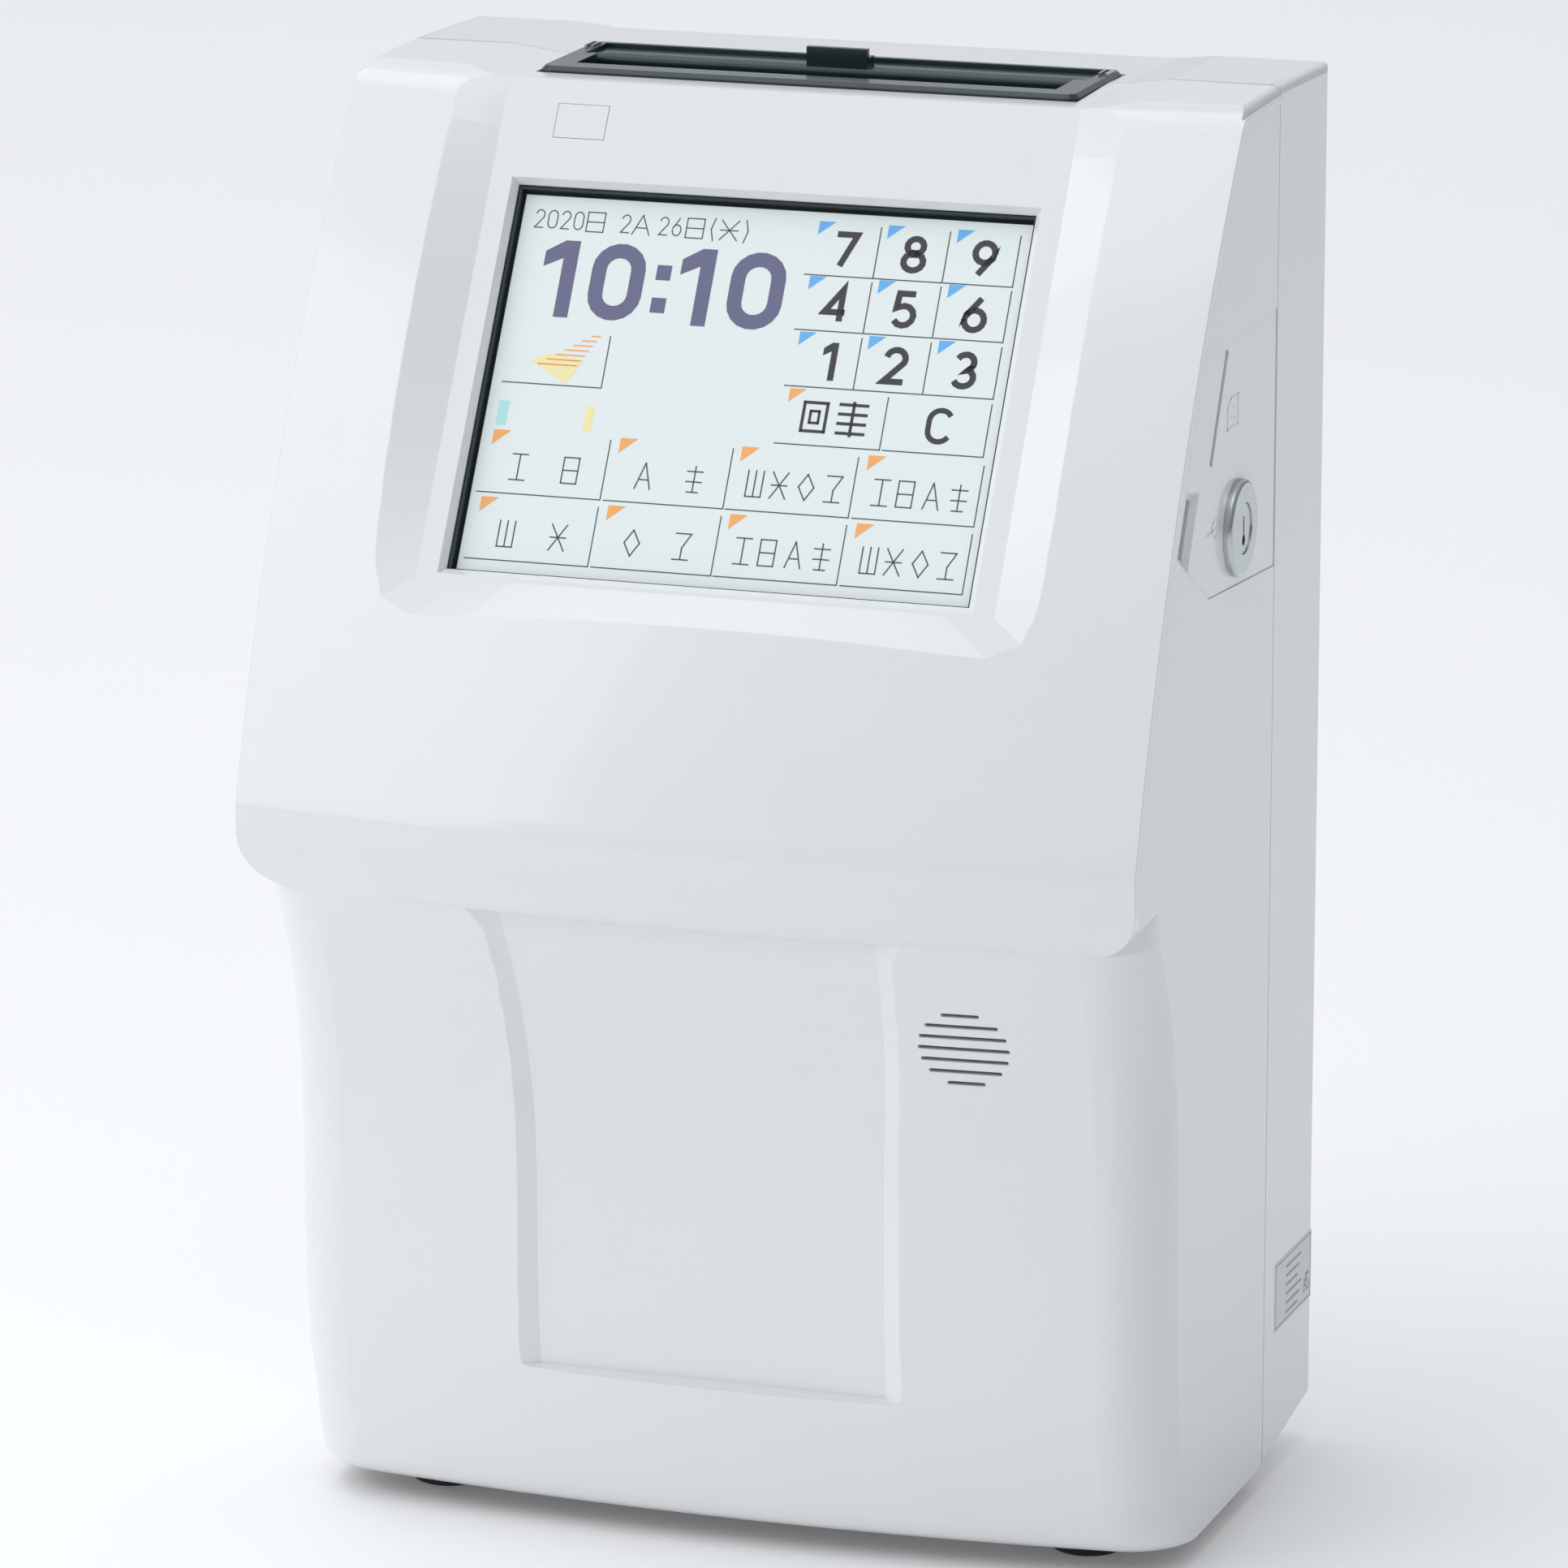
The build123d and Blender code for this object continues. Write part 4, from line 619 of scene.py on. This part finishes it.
# The rating label's print, in fractions along and up the label.
LABEL_EDGE = (0.02, 0.98)
LABEL_RULES_UP = (0.03, 0.95)               # lower sides of the frame's two level lines
LABEL_RULES_ALONG = (0.02, 0.97)            # near sides of its two upright lines
LABEL_RULE_TALL = 0.02
LABEL_RULE_WIDE = 0.01
LABEL_FRAME_UP = (0.03, 0.97)
LABEL_LINES = 6
LABEL_LINE_UP = (0.12, 0.135, 0.035)        # first line, pitch and thickness
LABEL_LINE_ALONG = (0.30, 0.62, 0.05)       # start, shortest end and what a longer line adds
LABEL_BLOCKS = 4                            # blocks in a row, and rows
LABEL_BLOCK_ALONG = (0.80, 0.035, 0.028)    # first block, pitch and width
LABEL_BLOCK_UP = (0.15, 0.075, 0.06)        # first row, pitch and height


def label_boxes():
    """The printed areas, as (along start, along end, up start, up end)."""
    boxes = []
    first, pitch, thick = LABEL_LINE_UP
    start, shortest, longer = LABEL_LINE_ALONG
    for line in range(LABEL_LINES):
        up = first + pitch * line
        boxes.append((start, shortest + longer * (line % 3), up, up + thick))
    for up in LABEL_RULES_UP:
        boxes.append((*LABEL_EDGE, up, up + LABEL_RULE_TALL))
    for along in LABEL_RULES_ALONG:
        boxes.append((along, along + LABEL_RULE_WIDE, *LABEL_FRAME_UP))
    for row in range(LABEL_BLOCKS):
        for column in range(LABEL_BLOCKS):
            if (row * 3 + column * 5) % 4 != 1:
                along = LABEL_BLOCK_ALONG[0] + LABEL_BLOCK_ALONG[1] * column
                up = LABEL_BLOCK_UP[0] + LABEL_BLOCK_UP[1] * row
                boxes.append((along, along + LABEL_BLOCK_ALONG[2], up, up + LABEL_BLOCK_UP[2]))
    return boxes


def label_print():
    """Ruled lines and blocks on the rating label, in place of its wording."""
    low, high = (Vector(corner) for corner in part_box("rating_label"))
    wide = high.y - low.y
    tall = high.z - low.z
    shapes = []
    for along0, along1, up0, up1 in label_boxes():
        corners = ((along0, up0), (along1, up0), (along1, up1), (along0, up1))
        shapes.append([Vector((high.x, low.y + wide * along, low.z + tall * up)) for along, up in corners])
    ink = surface("label_ink", (0.24, 0.36, 0.37), (0.29, 0.41, 0.42), (0.5, 0.6))
    add_prisms("label_print", shapes, LABEL_INK_T, RIGHTWARDS, ink, "clock")


# Marks moulded on the port panel, as lines of (y, z) points in millimetres.
CARD_MARK = (
    [(-1.6, 249.4), (-1.6, 254.0), (1.0, 255.9), (6.4, 255.9), (6.4, 249.4), (-1.6, 249.4)],
    [(1.2, 251.6), (1.2, 251.9)],
    [(3.2, 253.6), (3.2, 253.9)],
    [(3.4, 251.0), (3.4, 251.3)],
)
BRANCH_MARK = (
    [(-17.0, 229.2), (-7.0, 230.0)],
    [(-13.6, 229.5), (-11.6, 231.4), (-9.4, 231.6)],
    [(-12.4, 229.6), (-10.8, 227.9), (-8.8, 228.1)],
)
MARK_W = 0.34 * MM
MARK_H = 0.12 * MM
MARK_ROOT = 0.05 * MM           # how deep the marks reach into the panel


def raised_lines(name, lines):
    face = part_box("side_port_panel")[1][0]
    shapes = []
    for line in lines:
        spots = [Vector((face - MARK_ROOT, y * MM, z * MM)) for y, z in line]
        shapes += [bar_outline(start, end, MARK_W, RIGHTWARDS) for start, end in zip(spots, spots[1:])]
    add_prisms(name, shapes, MARK_H + MARK_ROOT, RIGHTWARDS, FINISHES["port_shell"], "cover")


def port_marks():
    """A card outline by the card slot and a plain branch by the socket."""
    raised_lines("port_mark_card", CARD_MARK)
    raised_lines("port_mark_branch", BRANCH_MARK)


# ------------------------------------------------------------------ stage


FLOOR_HALF = 4.0                # metres from the middle of the floor to its edge
FLOOR_GLOW = 0.10
DOME_LOW = 0.30                 # strength of the dome near the horizon
DOME_HIGH = 0.70                # and overhead
DOME_HEIGHTS = (0.05, 0.75)     # heights on the dome between which it changes
DOME_LEFT = 1.22                # what the left side multiplies it by
DOME_RIGHT = 0.73               # and the right side
DOME_SIDES = (-0.8, 0.8)
DOME_COLOUR = (0.925, 0.96, 1.0, 1)
AIM = (0, 0, 0.17)              # middle of the clock, which every lamp faces
WHITE = (1, 1, 1)

# Name, place, width and height in metres, watts and colour of each lamp.
LAMPS = (
    ("key", (-2.4, -2.0, 1.5), 3.0, 2.6, 36, (1.0, 0.995, 0.985)),
    ("top", (-0.3, -0.2, 2.3), 2.4, 1.8, 16, WHITE),
    ("back", (-1.0, 2.5, 1.1), 3.6, 1.6, 5, WHITE),
)

CAMERA_DISTANCE = 1.9
CAMERA_AZIMUTH = math.radians(18.87)
CAMERA_ELEVATION = math.radians(13.95)
CAMERA_TARGET = Vector((0.0159, -0.0476, 0.1757))
LENS = 204.2                    # focal length in millimetres
SENSOR = 36
CLIP_START = 0.05


def stage():
    mesh = bpy.data.meshes.new("floor")
    sides = ((-1, -1), (1, -1), (1, 1), (-1, 1))
    mesh.from_pydata([(x * FLOOR_HALF, y * FLOOR_HALF, 0) for x, y in sides], [], [(0, 1, 2, 3)])
    paper = surface("floor", (0.90, 0.90, 0.90), (0.92, 0.92, 0.92), (0.6, 0.7), grain=40, bump=0)
    shader = paper.node_tree.nodes["Principled BSDF"]
    shader.inputs["Emission Color"].default_value = (*WHITE, 1)
    shader.inputs["Emission Strength"].default_value = FLOOR_GLOW
    mesh.materials.append(paper)
    floor = bpy.data.objects.new("floor", mesh)
    bpy.context.scene.collection.objects.link(floor)


def area_light(name, place, width, height, power, colour):
    lamp = bpy.data.lights.new(name, "AREA")
    lamp.shape = "RECTANGLE"
    lamp.size = width
    lamp.size_y = height
    lamp.energy = power
    lamp.color = colour
    holder = bpy.data.objects.new(name, lamp)
    holder.location = place
    way = Vector(AIM) - Vector(place)
    holder.rotation_euler = way.to_track_quat("-Z", "Y").to_euler()
    bpy.context.scene.collection.objects.link(holder)


def dome_ramp(tree, source, inside, outside):
    """Maps one coordinate of the dome from the range inside to the range outside."""
    ramp = tree.nodes.new("ShaderNodeMapRange")
    ramp.inputs["From Min"].default_value = inside[0]
    ramp.inputs["From Max"].default_value = inside[1]
    ramp.inputs["To Min"].default_value = outside[0]
    ramp.inputs["To Max"].default_value = outside[1]
    tree.links.new(source, ramp.inputs["Value"])
    return ramp.outputs["Result"]


def sky():
    """A soft studio dome: brighter overhead and to the left, greyer near the horizon."""
    world = bpy.data.worlds.new("world")
    world.use_nodes = True
    tree = world.node_tree
    background = tree.nodes["Background"]
    coords = tree.nodes.new("ShaderNodeTexCoord")
    split = tree.nodes.new("ShaderNodeSeparateXYZ")
    tree.links.new(coords.outputs["Generated"], split.inputs["Vector"])
    product = tree.nodes.new("ShaderNodeMath")
    product.operation = "MULTIPLY"
    height = dome_ramp(tree, split.outputs["Z"], DOME_HEIGHTS, (DOME_LOW, DOME_HIGH))
    side = dome_ramp(tree, split.outputs["X"], DOME_SIDES, (DOME_LEFT, DOME_RIGHT))
    tree.links.new(height, product.inputs[0])
    tree.links.new(side, product.inputs[1])
    tree.links.new(product.outputs["Value"], background.inputs["Strength"])
    background.inputs["Color"].default_value = DOME_COLOUR
    bpy.context.scene.world = world


def camera():
    away = Vector((
        math.sin(CAMERA_AZIMUTH) * math.cos(CAMERA_ELEVATION),
        -math.cos(CAMERA_AZIMUTH) * math.cos(CAMERA_ELEVATION),
        math.sin(CAMERA_ELEVATION),
    ))
    lens = bpy.data.cameras.new("camera")
    lens.lens = LENS
    lens.sensor_width = SENSOR
    lens.clip_start = CLIP_START
    view = bpy.data.objects.new("camera", lens)
    view.location = CAMERA_TARGET + away * CAMERA_DISTANCE
    view.rotation_euler = (-away).to_track_quat("-Z", "Y").to_euler()
    bpy.context.scene.collection.objects.link(view)
    bpy.context.scene.camera = view


def main():
    dress_nodes()
    screen_ground()
    screen_border()
    keypad()
    wide_keys()
    function_keys()
    clock_time()
    clock_date()
    sun_key()
    level_bars()
    label_print()
    port_marks()
    stage()
    sky()
    for lamp in LAMPS:
        area_light(*lamp)
    camera()
    bpy.context.scene.view_settings.view_transform = "Standard"


main()
